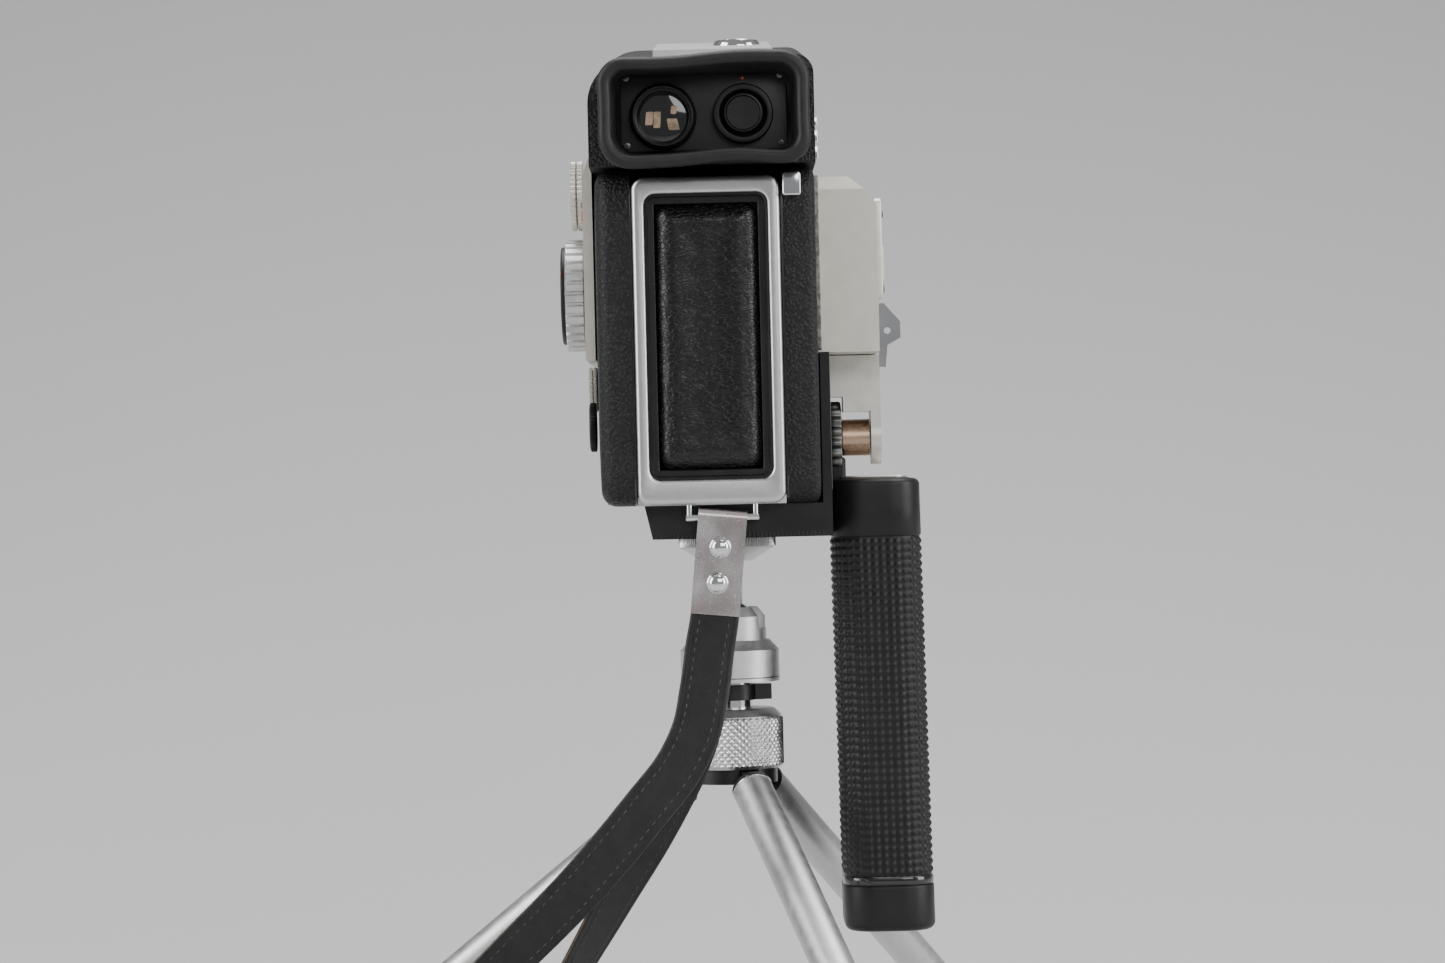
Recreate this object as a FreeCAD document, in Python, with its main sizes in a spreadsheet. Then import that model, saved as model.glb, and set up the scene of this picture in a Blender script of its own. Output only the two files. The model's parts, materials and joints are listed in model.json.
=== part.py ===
"""Hand-held film camera on a folding pocket tripod, as separate sub-parts in one frame.

Millimetres. +Z up, +Y the way the lens looks, +X the camera's right-hand side for a user
who stands behind it. Z = 0 is the floor and the bounding box is centred on X = Y = 0.
"""
import FreeCAD, Part
import Sketcher
import math
import os
from FreeCAD import Vector

# Driving dimensions. X and Y are measured from the tripod's axis, heights from the floor.
DRIVING = {
    # small steps and clearances that several pieces share
    "knuckle_shoulder": 0.8, "shoulder_inset": 0.3, "slot_room": 0.8, "beak_root": 2.8,
    "beak_tip": 0.9, "beak_overlap": 0.6, "socket_room": 0.4, "slot_clearance": 0.4,
    "past_cut": 1.0, "housing_gap": 0.1,
    # where the tripod's axis stands, so that the whole box is centred on the origin
    "axis_x": 26.306, "axis_y": 10.27,
    # legs
    "apex_height": 120.0, "pivot_radius": 7.0, "pivot_drop": 5.63, "leg_spread": 51.2,
    "first_leg_azimuth": 38.3, "tongue_width": 5.0, "tongue_depth": 5.6, "slot_width": 5.6,
    "pin_radius": 1.25, "pin_half": 8.0, "fit_gap": 0.05, "knuckle_end": 9.0,
    "leg_radius": 5.5, "leg_bore": 4.85, "plug_radius": 4.8, "plug_end": 16.0,
    "tube_end": 163.0, "inner_radius": 4.5, "inner_bore": 3.7, "inner_start": 26.0,
    "inner_end": 169.0, "foot_radius": 5.8, "foot_centre": 173.9, "lip_radius": 5.85,
    "lip_length": 5.0,
    # crown, collar and post
    "crown_radius": 12.5, "crown_drop": 10.5, "crown_rise": 2.0, "slot_roof": 1.2,
    "collar_radius": 14.45, "collar_drop": 6.4, "collar_rise": 10.0, "collar_bevel": 2.0,
    "post_radius": 6.0, "post_top": 137.2, "spigot_radius": 4.0, "spigot_top": 142.0,
    "lever_low": 132.3, "lever_high": 136.6, "lever_reach": 11.4, "lever_ring": 7.4,
    # ball head
    "head_low": 137.5, "ring_high": 146.2, "ring_top": 148.9, "ring_radius": 13.7,
    "ring_top_radius": 11.2, "ring_bore": 10.6, "housing_radius": 10.3, "housing_top": 158.0,
    "housing_shoulder": 155.4, "housing_neck": 8.4, "ball_height": 152.0, "ball_radius": 8.0,
    "stem_radius": 4.0, "stem_top": 170.8, "disc_low_radius": 7.2, "disc_radius": 13.5,
    "disc_edge": 174.7, "disc_top": 177.7, "screw_radius": 3.1, "screw_top": 182.5,
    # cradle under and beside the body
    "cradle_low": 177.8, "cradle_left": -19.8, "cradle_left_top": -21.8, "cradle_right": 28.3,
    "cradle_rear": -46.0, "cradle_front": 40.0, "cheek_top": 226.8,
    # body casing
    "body_low": 186.8, "body_left": -34.3, "body_right": 25.7, "body_rear": -53.0,
    "body_front": 50.0, "shell_wall": 2.4, "side_round": 8.0, "door_left": -23.5,
    "door_right": 16.1, "body_high": 276.4, "front_thickness": 3.0,
    "lens_x": -4.0, "lens_height": 262.0, "lens_hole": 14.0,
    # rear door
    "door_rear": -55.0, "door_front": -50.2, "door_high": 273.7, "door_side": 3.3,
    "door_sill": 6.6, "door_lintel": 4.5, "door_round": 4.0, "pad_rear": -54.0,
    "latch_left": 16.7, "latch_right": 21.6, "latch_low": 268.0, "latch_high": 274.2,
    "latch_rear": -56.0,
    # finder housing and top plate
    "finder_low": 276.8, "finder_rear": -54.0, "finder_top_rear": 305.5,
    "finder_top_front": 318.5, "left_round": 12.0, "right_round": 5.0,
    "plate_left": -16.7, "plate_right": 15.0, "plate_thickness": 1.8,
    "button_x": 5.8, "button_y": 0.0, "button_radius": 6.9, "button_low": 316.1,
    "button_high": 320.0, "button_stem": 2.5,
    # eyecup and eyepieces
    "cup_left": -31.6, "cup_right": 24.6, "cup_low": 274.4, "cup_high": 305.2,
    "cup_rear": -75.0, "cup_wall": 2.6, "cup_round": 7.0, "eyeplate_left": -25.8,
    "eyeplate_right": 18.6, "eyeplate_low": 279.8, "eyeplate_high": 301.8,
    "eyeplate_rear": -59.0, "eye_x": -14.3, "eye_height": 289.0, "eye_ring": 8.9,
    "eye_ring_rear": -63.5, "eye_lens_radius": 6.7, "meter_x": 6.8, "meter_height": 289.4,
    "meter_ring": 7.9, "meter_bore": 5.3, "meter_rear": -62.5,
    "eyeplate_socket": 3.2, "eye_neck_step": 0.7, "eye_tail": 3.0, "eye_ring_gap": 0.2,
    "eye_seat": 1.6, "eye_edge": 2.4, "eye_slope": 3.6, "eye_crown": 3.9, "meter_floor": 1.2,
    # left side: dial plate, wheels and knob
    "dial_face": -37.0, "dial_low": 226.5, "dial_high": 283.0, "dial_rear": -32.0,
    "dial_front": 34.0, "dial_bevel": 7.0, "wheel_gap": 0.3,
    "speed_radius": 9.5, "speed_outer": -40.8, "speed_height": 272.4, "knob_y": -8.0,
    "knob_radius": 15.4, "knob_outer": -42.8, "knob_height": 245.0, "arbor_radius": 2.5,
    "cap_radius": 13.5, "cap_outer": -43.9, "arbor_inner": -15.6,
    "counter_radius": 6.2, "counter_outer": -37.0, "counter_height": 219.0,
    "battery_radius": 6.7, "battery_outer": -36.5, "battery_height": 208.4,
    "battery_y": -26.0,
    # right side: housing, lever, bracket and grip
    "housing_right": 42.6, "housing_low": 227.2, "housing_high": 271.5,
    "housing_rear": -26.0, "housing_front": 34.0, "housing_slope": 4.7,
    "housing_shelf": 18.0, "housing_bevel_in": 8.0, "housing_bevel_up": 6.0,
    "housing_bevel_down": 5.5, "lug_tab": 1.8, "lug_tab_drop": 10.0, "lug_waist": 2.4,
    "lug_waist_drop": 4.0, "lug_wing": 6.0, "lug_wing_drop": 2.0, "lug_wing_rise": 2.5,
    "lug_tip": 1.6, "lug_rise": 7.5, "lug_eye_radius": 0.9,
    "lever_x": 42.9, "lever_thickness": 1.4, "lever_height": 233.3, "lever_y": -12.0,
    "grip_y": 4.0, "grip_pivot": 204.3, "bracket_half": 7.0, "bracket_right": 43.4,
    "cheek_left": 40.6, "lug_radius": 7.5, "bracket_top": 227.0, "notch_low": 215.6,
    "notch_step": 33.0, "notch_low_right": 211.5, "grip_pin": 2.5, "shaft_radius": 5.1,
    "shaft_left": 32.8, "shaft_right": 40.3, "thumb_left": 28.8, "thumb_right": 32.5,
    "thumb_radius": 10.1, "grip_left": 29.3, "grip_right": 54.4, "grip_top": 193.6,
    "grip_half": 16.5, "grip_round": 9.0, "sleeve_top": 176.8, "sleeve_low": 81.0,
    "end_low": 68.0, "neck_half": 2.6, "saddle": 4.0, "shaft_start_gap": 0.5, "pin_end_gap": 0.2,
    # strap
    "bail_height": 183.4, "bail_y": -48.8, "bail_wire": 0.9, "bail_left": -10.8,
    "bail_right": 8.6, "clip_width": 13.0, "clip_length": 26.0, "clip_tilt": 5.7,
    "clip_half": 2.3, "clip_sheet": 0.55, "bail_clearance": 0.8, "rivet_radius": 2.7,
    "rivet_rise": 1.2, "strap_width": 13.0, "strap_thickness": 1.6,
    # lens
    "flange_radius": 24.0, "flange_thickness": 3.0, "barrel_radius": 20.5,
    "barrel_bore": 12.0, "barrel_end": 43.0, "focus_start": 25.5, "focus_end": 48.0,
    "focus_radius": 24.5, "focus_bore": 20.8, "filter_bore": 20.25, "filter_depth": 4.4,
    "glass_radius": 17.0, "glass_start": 33.0, "glass_edge": 2.0, "glass_crown": 2.2,
    # inside the body
    "deck_left": -14.0, "deck_right": -12.0, "deck_front": 30.0, "spool_left": -10.4,
    "spool_right": 2.4, "spool_radius": 20.5, "spool_hub": 7.0, "spool_y": -27.0,
    "flange_wall": 1.0, "supply_height": 253.5, "take_up_height": 210.8,
    "barrel_left": -22.5, "spring_radius": 17.5, "gate_thickness": 2.0, "gate_right": 6.0,
    "gate_low": 236.0, "aperture_half": 2.6, "shutter_y": 38.0, "shutter_radius": 17.0,
    "shutter_drop": 12.0, "shutter_hub": 5.0, "shutter_pin": 2.0, "shutter_sheet": 1.0,
    "shutter_notch": 5.5, "shutter_notch_half": 11.0,
}


class Size:
    """A number together with the spreadsheet formula that gives it."""

    def __init__(self, value, formula):
        self.value = float(value)
        self.formula = formula

    def __add__(self, other):
        return joined(self, "+", other, lambda a, b: a + b)

    def __sub__(self, other):
        return joined(self, "-", other, lambda a, b: a - b)

    def __mul__(self, other):
        return joined(self, "*", other, lambda a, b: a * b)

    def __truediv__(self, other):
        return joined(self, "/", other, lambda a, b: a / b)

    def __neg__(self):
        return Size(0, "0") - self


def as_size(number):
    """Give a plain number the same form as a sheet value."""
    return number if isinstance(number, Size) else Size(number, f"({float(number)!r})")


def joined(first, sign, second, rule):
    """Combine two sizes and their formulas with one arithmetic sign."""
    first, second = as_size(first), as_size(second)
    formula = f"({first.formula} {sign} {second.formula})"
    return Size(rule(first.value, second.value), formula)


doc = FreeCAD.newDocument("FilmCameraOnTripod")
sheet = doc.addObject("Spreadsheet::Sheet", "Sizes")
for row, (alias, value) in enumerate(DRIVING.items(), start=1):
    sheet.set(f"A{row}", alias)
    sheet.set(f"B{row}", repr(value))
    sheet.setAlias(f"B{row}", alias)
doc.recompute()
S = {alias: Size(value, f"Sizes.{alias}") for alias, value in DRIVING.items()}
SUB_PARTS = []

# A turned piece has its own axis along Z. These turn that axis to where it belongs.
FACING = {"Z": None, "X": (0, 1, 0, 90), "-X": (0, 1, 0, -90), "Y": (1, 0, 0, -90),
          "-Y": (1, 0, 0, 90)}


def place(item, x=0, y=0, z=0, facing="Z"):
    """Bind an object's position, measured from the tripod's axis, to the sheet."""
    if FACING[facing]:
        *axis, angle = FACING[facing]
        item.Placement = FreeCAD.Placement(Vector(), FreeCAD.Rotation(Vector(*axis), angle))
    spot = (S["axis_x"] + x, S["axis_y"] + y, as_size(z))
    for letter, size in zip("xyz", spot):
        item.setExpression(f"Placement.Base.{letter}", size.formula)
    return item


def set_whole_place(item, formula):
    """Bind a whole placement, position and turn together, in place of any earlier binding."""
    for letter in "xyz":
        item.setExpression(f"Placement.Base.{letter}", None)
    item.setExpression("Placement", formula)
    return item


def keep(item, name):
    """Name an object as one of the sub-parts that are written out."""
    item.Label = name
    SUB_PARTS.append(item)
    return item


def origin_plane(body, role):
    return next(item for item in body.Origin.OriginFeatures if item.Role == role)


def outline(body, role, points):
    """A closed sketch of straight lines, every corner bound to the sheet."""
    sketch = body.newObject("Sketcher::SketchObject", body.Name + "_outline")
    sketch.AttachmentSupport = [(origin_plane(body, role), "")]
    sketch.MapMode = "FlatFace"
    corners = [(as_size(across), as_size(up)) for across, up in points]
    spots = [Vector(across.value, up.value, 0) for across, up in corners]
    count = len(corners)
    for number in range(count):
        line = Part.LineSegment(spots[number], spots[(number + 1) % count])
        sketch.addGeometry(line, False)
    for number in range(count):
        after = (number + 1) % count
        sketch.addConstraint(Sketcher.Constraint("Coincident", number, 2, after, 1))
    for number, corner in enumerate(corners):
        for kind, size in zip(("DistanceX", "DistanceY"), corner):
            limit = Sketcher.Constraint(kind, -1, 1, number, 1, size.value)
            label = f"corner{number}{kind[-1]}"
            sketch.renameConstraint(sketch.addConstraint(limit), label)
            sketch.setExpression(f"Constraints.{label}", size.formula)
    return sketch


def turned(name, points, **where):
    """A body of revolution: (radius, height) corners about its own Z axis."""
    body = doc.addObject("PartDesign::Body", name)
    turn = body.newObject("PartDesign::Revolution", name + "_turn")
    sketch = outline(body, "XZ_Plane", points)
    turn.Profile = sketch
    turn.ReferenceAxis = (sketch, ["V_Axis"])
    turn.Angle = 360
    body.Tip = turn
    return place(body, **where)


def extruded(name, role, points, low, high, **where):
    """A flat outline pushed from low to high, square to its plane."""
    body = doc.addObject("PartDesign::Body", name)
    sketch = outline(body, role, points)
    pad = body.newObject("PartDesign::Pad", name + "_pad")
    pad.Profile = sketch
    pad.Reversed = role == "XZ_Plane"
    pad.setExpression("Length", (as_size(high) - low).formula)
    letter = {"XY_Plane": "z", "XZ_Plane": "y", "YZ_Plane": "x"}[role]
    sketch_spot = {"x": 0, "y": 0, "z": 0, **where}
    sketch_spot[letter] = as_size(sketch_spot[letter]) + low
    return place(body, **sketch_spot)


def rounded(body, along, radius, chosen=lambda middle: True):
    """Round a body's straight edges that run along one axis, where chosen says so."""
    doc.recompute()
    base = body.Tip
    names = []
    for number, edge in enumerate(base.Shape.Edges, start=1):
        direction = edge.tangentAt(edge.FirstParameter)
        middle = edge.valueAt((edge.FirstParameter + edge.LastParameter) / 2)
        if abs(direction.dot(along)) > PARALLEL and chosen(middle):
            names.append(f"Edge{number}")
    fillet = body.newObject("PartDesign::Fillet", body.Name + "_round")
    fillet.Base = (base, names)
    fillet.setExpression("Radius", as_size(radius).formula)
    return body


def box(name, x, y, z):
    """A block between (low, high) pairs along each axis."""
    block = doc.addObject("Part::Box", name)
    for side, (low, high) in zip(("Length", "Width", "Height"), (x, y, z)):
        block.setExpression(side, (as_size(high) - low).formula)
    return place(block, x[0], y[0], z[0])


def rod(name, radius, low, high, x=0, y=0, z=0, facing="Z"):
    """A cylinder from low to high along the axis that it faces."""
    bar = doc.addObject("Part::Cylinder", name)
    bar.setExpression("Radius", as_size(radius).formula)
    bar.setExpression("Height", (as_size(high) - low).formula)
    spot = {"x": x, "y": y, "z": z}
    letter = facing.lower()
    spot[letter] = as_size(spot[letter]) + low
    return place(bar, facing=facing, **spot)


def cut(name, base, *tools):
    """The base with every tool taken away."""
    result = doc.addObject("Part::Cut", name)
    result.Base = base
    result.Tool = tools[0] if len(tools) == 1 else fused(name + "_tools", *tools)
    return result


def fused(name, *pieces):
    """One solid made of pieces that meet."""
    result = doc.addObject("Part::MultiFuse", name)
    result.Shapes = list(pieces)
    result.Refine = True
    return result


PARALLEL = 0.99
X_AXIS, Y_AXIS, Z_AXIS = Vector(1, 0, 0), Vector(0, 1, 0), Vector(0, 0, 1)

# ---------------------------------------------------------------- tripod legs
LEG_COUNT = 3
TURN = "create(<<rotation>>; create(<<vector>>; {axis}); {angle})"
SHIFT = "create(<<vector>>; {x}; {y}; {z})"


def on_leg(item, number, x=0, y=0, z=0, facing="Z", spread=True):
    """Place an object in a leg's own frame: the pivot is its origin and -Z runs down the leg."""
    azimuth = math.radians(DRIVING["first_leg_azimuth"] + number * 360 / LEG_COUNT)
    pivot = SHIFT.format(
        x=(S["axis_x"] + S["pivot_radius"] * math.sin(azimuth)).formula,
        y=(S["axis_y"] + S["pivot_radius"] * math.cos(azimuth)).formula,
        z=(S["apex_height"] - S["pivot_drop"]).formula)
    heading = -S["first_leg_azimuth"] - number * 360 / LEG_COUNT
    lean = S["leg_spread"].formula if spread else "0"
    leg = (f"create(<<placement>>; {pivot}; {TURN.format(axis='0; 0; 1', angle=heading.formula)}"
           f" * {TURN.format(axis='1; 0; 0', angle=lean)})")
    *axis, angle = FACING[facing] or (0, 0, 1, 0)
    local = SHIFT.format(x=as_size(x).formula, y=as_size(y).formula, z=as_size(z).formula)
    turn = TURN.format(axis="; ".join(str(part) for part in axis), angle=angle)
    return set_whole_place(item, f"{leg} * create(<<placement>>; {local}; {turn})")


def leg_block(name, number, x, y, z, spread=True):
    """A block in a leg's own frame."""
    block = doc.addObject("Part::Box", name)
    for side, (low, high) in zip(("Length", "Width", "Height"), (x, y, z)):
        block.setExpression(side, (as_size(high) - low).formula)
    return on_leg(block, number, x[0], y[0], z[0], spread=spread)


def leg_rod(name, number, radius, half, spread=True):
    """A cylinder across a leg, centred on its pivot."""
    bar = doc.addObject("Part::Cylinder", name)
    bar.setExpression("Radius", as_size(radius).formula)
    bar.setExpression("Height", (as_size(half) * 2).formula)
    return on_leg(bar, number, x=-as_size(half), facing="X", spread=spread)


def knuckle(name, number):
    """The black hinge end of a leg: a tongue on the pin, a shoulder and a plug."""
    half = S["tongue_width"] / 2
    deep = S["tongue_depth"] / 2
    tongue = leg_block(name + "_tongue", number, (-half, half), (-deep, deep),
                       (-S["knuckle_end"], 0))
    nose = leg_rod(name + "_nose", number, deep, half)
    shoulder_top = -S["knuckle_end"] + S["knuckle_shoulder"]
    rim = S["leg_radius"] - S["shoulder_inset"]
    plug = on_leg(turned(name + "_plug", [
        (0, -S["plug_end"]), (S["plug_radius"], -S["plug_end"]),
        (S["plug_radius"], -S["knuckle_end"]), (rim, -S["knuckle_end"]),
        (rim, shoulder_top), (0, shoulder_top)]), number)
    hole = leg_rod(name + "_hole", number, S["pin_radius"] + S["fit_gap"], S["tongue_width"])
    return cut(name, fused(name + "_solid", tongue, nose, plug), hole)


def leg_tube(name, number, outer, bore, start, end, lip=None):
    """A plain tube down the leg, with an optional raised lip at its lower end."""
    points = [(bore, -end), (outer, -end), (outer, -start), (bore, -start)]
    if lip:
        points[1:2] = [(lip, -end), (lip, -end + S["lip_length"]), (outer, -end + S["lip_length"])]
    return on_leg(turned(name, points), number)


def foot(name, number):
    """A rubber ball on the inner tube, worn flat where it meets the floor."""
    ball = doc.addObject("Part::Sphere", name + "_ball")
    ball.setExpression("Radius", S["foot_radius"].formula)
    on_leg(ball, number, z=-S["foot_centre"])
    socket = on_leg(turned(name + "_socket", [
        (0, -S["inner_end"]), (S["inner_radius"], -S["inner_end"]),
        (S["inner_radius"], -S["inner_start"] * 4), (0, -S["inner_start"] * 4)]), number)
    reach = S["foot_centre"] + S["foot_radius"]
    floor = box(name + "_floor", (-reach, reach), (-reach, reach), (-S["foot_radius"] * 2, 0))
    return cut(name, ball, socket, floor)


def make_legs():
    for number in range(LEG_COUNT):
        leg = f"leg_{number + 1}"
        keep(knuckle(f"{leg}_joint", number), f"{leg}_knuckle")
        keep(leg_tube(f"{leg}_outer", number, S["leg_radius"], S["leg_bore"],
                      S["knuckle_end"], S["tube_end"], S["lip_radius"]), f"{leg}_outer_tube")
        keep(leg_tube(f"{leg}_inner", number, S["inner_radius"], S["inner_bore"],
                      S["inner_start"], S["inner_end"]), f"{leg}_inner_tube")
        keep(foot(f"{leg}_rubber", number), f"{leg}_foot")


# ---------------------------------------------------------------- crown, collar and ball head
def make_crown():
    low = S["apex_height"] - S["crown_drop"]
    high = S["apex_height"] + S["crown_rise"]
    disc = turned("crown_disc", [(0, low), (S["crown_radius"], low), (S["crown_radius"], high),
                                 (0, high)])
    half = S["slot_width"] / 2
    slot_low = S["pivot_drop"] - S["crown_drop"] - S["past_cut"]
    slot_high = S["pivot_drop"] - S["slot_roof"]
    inner = S["tongue_depth"] / 2 + S["slot_room"]
    slots = [leg_block(f"crown_slot_{number}", number, (-half, half),
                       (-inner, S["crown_radius"]), (slot_low, slot_high), spread=False)
             for number in range(LEG_COUNT)]
    holes = [leg_rod(f"crown_hole_{number}", number, S["pin_radius"], S["pin_half"], False)
             for number in range(LEG_COUNT)]
    keep(cut("crown", disc, *slots, *holes), "tripod_crown")
    pins = [leg_rod(f"pin_{number}", number, S["pin_radius"], S["pin_half"], False)
            for number in range(LEG_COUNT)]
    keep(fused("pins", *pins), "leg_pins")


def make_collar_and_post():
    low = S["apex_height"] - S["collar_drop"]
    roof = S["apex_height"] + S["crown_rise"]
    high = S["apex_height"] + S["collar_rise"]
    outer, bevel = S["collar_radius"], S["collar_bevel"]
    screw = S["post_radius"] - S["past_cut"]
    skirt = S["crown_radius"] + S["fit_gap"]
    keep(turned("collar", [(skirt, low), (outer, low), (outer, high - bevel),
                           (outer - bevel, high), (screw, high), (screw, roof),
                           (skirt, roof)]), "knurled_collar")
    keep(turned("post", [(0, roof), (screw, roof), (screw, high), (S["post_radius"], high),
                         (S["post_radius"], S["post_top"]), (S["spigot_radius"], S["post_top"]),
                         (S["spigot_radius"], S["spigot_top"]), (0, S["spigot_top"])]),
         "head_post")
    bore = S["post_radius"] + S["fit_gap"]
    ring = turned("lever_ring", [(bore, S["lever_low"]), (S["lever_ring"], S["lever_low"]),
                                 (S["lever_ring"], S["lever_high"]), (bore, S["lever_high"])])
    wide, narrow = S["beak_root"], S["beak_tip"]
    root = S["lever_ring"] - S["beak_overlap"]
    beak = extruded("lever_beak", "XY_Plane", [
        (root, -wide), (S["lever_reach"], -narrow),
        (S["lever_reach"], narrow), (root, wide)],
        S["lever_low"], S["lever_high"])
    keep(fused("lever", ring, beak), "clamp_lever")


def make_ball_head():
    low, radius = S["head_low"], S["housing_radius"]
    bore = S["spigot_radius"] + S["fit_gap"]
    shell = turned("housing_shell", [
        (bore, low), (radius, low), (radius, S["housing_shoulder"]),
        (S["housing_neck"], S["housing_top"]), (0, S["housing_top"]),
        (0, S["spigot_top"] + S["socket_room"]), (bore, S["spigot_top"] + S["socket_room"])])
    cavity = doc.addObject("Part::Sphere", "housing_cavity")
    cavity.setExpression("Radius", (S["ball_radius"] + S["fit_gap"] * 2).formula)
    place(cavity, z=S["ball_height"])
    half = S["stem_radius"] + S["slot_clearance"]
    gap = box("drop_gap", (-half, half), (0, radius * 2), (S["ball_height"], S["housing_top"] + 2))
    turn = TURN.format(axis="0; 0; 1", angle=DROP_SLOT_HEADING)
    centre = SHIFT.format(x=S["axis_x"].formula, y=S["axis_y"].formula,
                          z=S["ball_height"].formula)
    inset = SHIFT.format(x=(-half).formula, y="0", z="0")
    set_whole_place(gap, f"create(<<placement>>; {centre}; {turn}) * "
                    f"create(<<placement>>; {inset}; {TURN.format(axis='0; 0; 1', angle=0)})")
    keep(cut("housing", shell, cavity, gap), "ball_housing")
    keep(turned("ring", [(S["ring_bore"], low), (S["ring_radius"], low),
                         (S["ring_radius"], S["ring_high"]), (S["ring_top_radius"], S["ring_top"]),
                         (S["ring_bore"], S["ring_top"])]), "clamp_ring")
    ball = doc.addObject("Part::Sphere", "ball")
    ball.setExpression("Radius", S["ball_radius"].formula)
    place(ball, z=S["ball_height"])
    stem = rod("stem", S["stem_radius"], S["ball_height"], S["stem_top"])
    screw = rod("screw", S["screw_radius"], S["ball_height"], S["screw_top"])
    keep(fused("ball_and_stem", ball, stem, screw), "ball_stem")
    hole = S["screw_radius"] + S["fit_gap"]
    keep(turned("disc", [(hole, S["stem_top"]), (S["disc_low_radius"], S["stem_top"]),
                         (S["disc_radius"], S["disc_edge"]), (S["disc_radius"], S["disc_top"]),
                         (hole, S["disc_top"])]), "platform_disc")


DROP_SLOT_HEADING = -102
make_legs()
make_crown()
make_collar_and_post()
make_ball_head()


# ---------------------------------------------------------------- cradle and casing
def rectangle(left, right, low, high):
    """Four corners, anticlockwise."""
    return [(left, low), (right, low), (right, high), (left, high)]


def make_cradle():
    """The black carrier that the body sits in, with a cheek up its right side."""
    inside = S["body_right"] + 0.1
    floor = S["body_low"] - 0.1
    block = extruded("cradle_block", "XZ_Plane", [
        (S["cradle_left"], S["cradle_low"]), (S["cradle_right"], S["cradle_low"]),
        (S["cradle_right"], S["cheek_top"]), (inside, S["cheek_top"]), (inside, floor),
        (S["cradle_left_top"], floor)], S["cradle_rear"], S["cradle_front"])
    thread = rod("cradle_thread", S["screw_radius"] + S["fit_gap"], S["cradle_low"] - 1,
                 S["screw_top"] + 1)
    pin = rod("cradle_pin_hole", S["grip_pin"] + S["fit_gap"], inside - 1, S["cradle_right"] + 1,
              y=S["grip_y"], z=S["grip_pivot"], facing="X")
    keep(cut("cradle", block, thread, pin), "cradle")


def side_cover(name, outer, inner, hole=None):
    """A leather-covered side shell, open towards the middle of the body."""
    wall = S["shell_wall"]
    left, right = (outer, inner) if outer.value < inner.value else (inner, outer)
    shell = extruded(name + "_shell", "XY_Plane",
                     rectangle(left, right, S["body_rear"], S["body_front"]),
                     S["body_low"], S["body_high"])
    rounded(shell, Z_AXIS, S["side_round"],
            lambda middle: abs(middle.x - outer.value) < 1)
    inward = 1 if outer.value < inner.value else -1
    near, far = outer + wall * inward, inner + 1 * inward
    low_x, high_x = (near, far) if inward > 0 else (far, near)
    cavity = box(name + "_cavity", (low_x, high_x),
                 (S["body_rear"] + S["side_round"] / 2, S["body_front"] - S["side_round"] / 2),
                 (S["body_low"] + wall, S["body_high"] - wall))
    return cut(name, shell, cavity, *([hole] if hole else []))


def arbor_hole(name, start, end):
    return rod(name, S["arbor_radius"] + S["fit_gap"] * 2, start, end, y=S["knob_y"],
               z=S["knob_height"], facing="X")


def make_covers():
    hole = arbor_hole("cover_hole", S["body_left"] - 1, S["body_left"] + S["shell_wall"] + 1)
    keep(side_cover("left", S["body_left"], S["door_left"], hole), "left_cover")
    keep(side_cover("right", S["body_right"], S["door_right"]), "right_cover")
    face = extruded("front_face", "XZ_Plane",
                    rectangle(S["body_left"], S["body_right"], S["body_low"],
                              S["finder_top_front"]),
                    S["body_front"], S["body_front"] + S["front_thickness"])
    middle = (S["body_left"] + S["body_right"]).value / 2
    half_way = (S["body_low"] + S["finder_top_front"]).value / 2
    rounded(face, Y_AXIS, S["left_round"], lambda spot: spot.x < middle and spot.z > half_way)
    rounded(face, Y_AXIS, S["right_round"], lambda spot: spot.x > middle and spot.z > half_way
            and spot.x > S["body_right"].value - 1)
    sill = box("front_sill", (S["door_left"] + 0.1, S["door_right"] - 0.1),
               (S["door_front"] + 0.3, S["body_front"]),
               (S["body_low"], S["body_low"] + S["shell_wall"]))
    hole = rod("front_hole", S["lens_hole"], S["body_front"] - 1,
               S["body_front"] + S["front_thickness"] + 1, x=S["lens_x"], z=S["lens_height"],
               facing="Y")
    keep(cut("front", fused("front_solid", face, sill), hole), "front_plate")


def make_rear_door():
    """The silver door frame, its padded panel and the latch that holds it shut."""
    left, right = S["door_left"] + 0.2, S["door_right"] - 0.2
    low, high = S["body_low"] + 0.2, S["door_high"]
    frame = extruded("door_frame_block", "XZ_Plane", rectangle(left, right, low, high),
                     S["door_rear"], S["door_front"])
    rounded(frame, Y_AXIS, S["door_round"])
    inner = rectangle(left + S["door_side"], right - S["door_side"],
                      low + S["door_sill"], high - S["door_lintel"])
    window = extruded("door_window", "XZ_Plane", inner, S["door_rear"] - 1,
                      S["door_front"] + 1)
    keep(cut("door_frame", frame, window), "rear_door_frame")
    keep(extruded("pad", "XZ_Plane", inner, S["pad_rear"], S["door_front"]), "rear_door_pad")
    keep(box("latch", (S["latch_left"], S["latch_right"]), (S["latch_rear"], S["body_rear"]),
             (S["latch_low"], S["latch_high"])), "door_latch")


def roof_line(depth):
    """Rear and front heights of the sloping roof, some depth below its surface."""
    return S["finder_top_rear"] - depth, S["finder_top_front"] - depth


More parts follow.
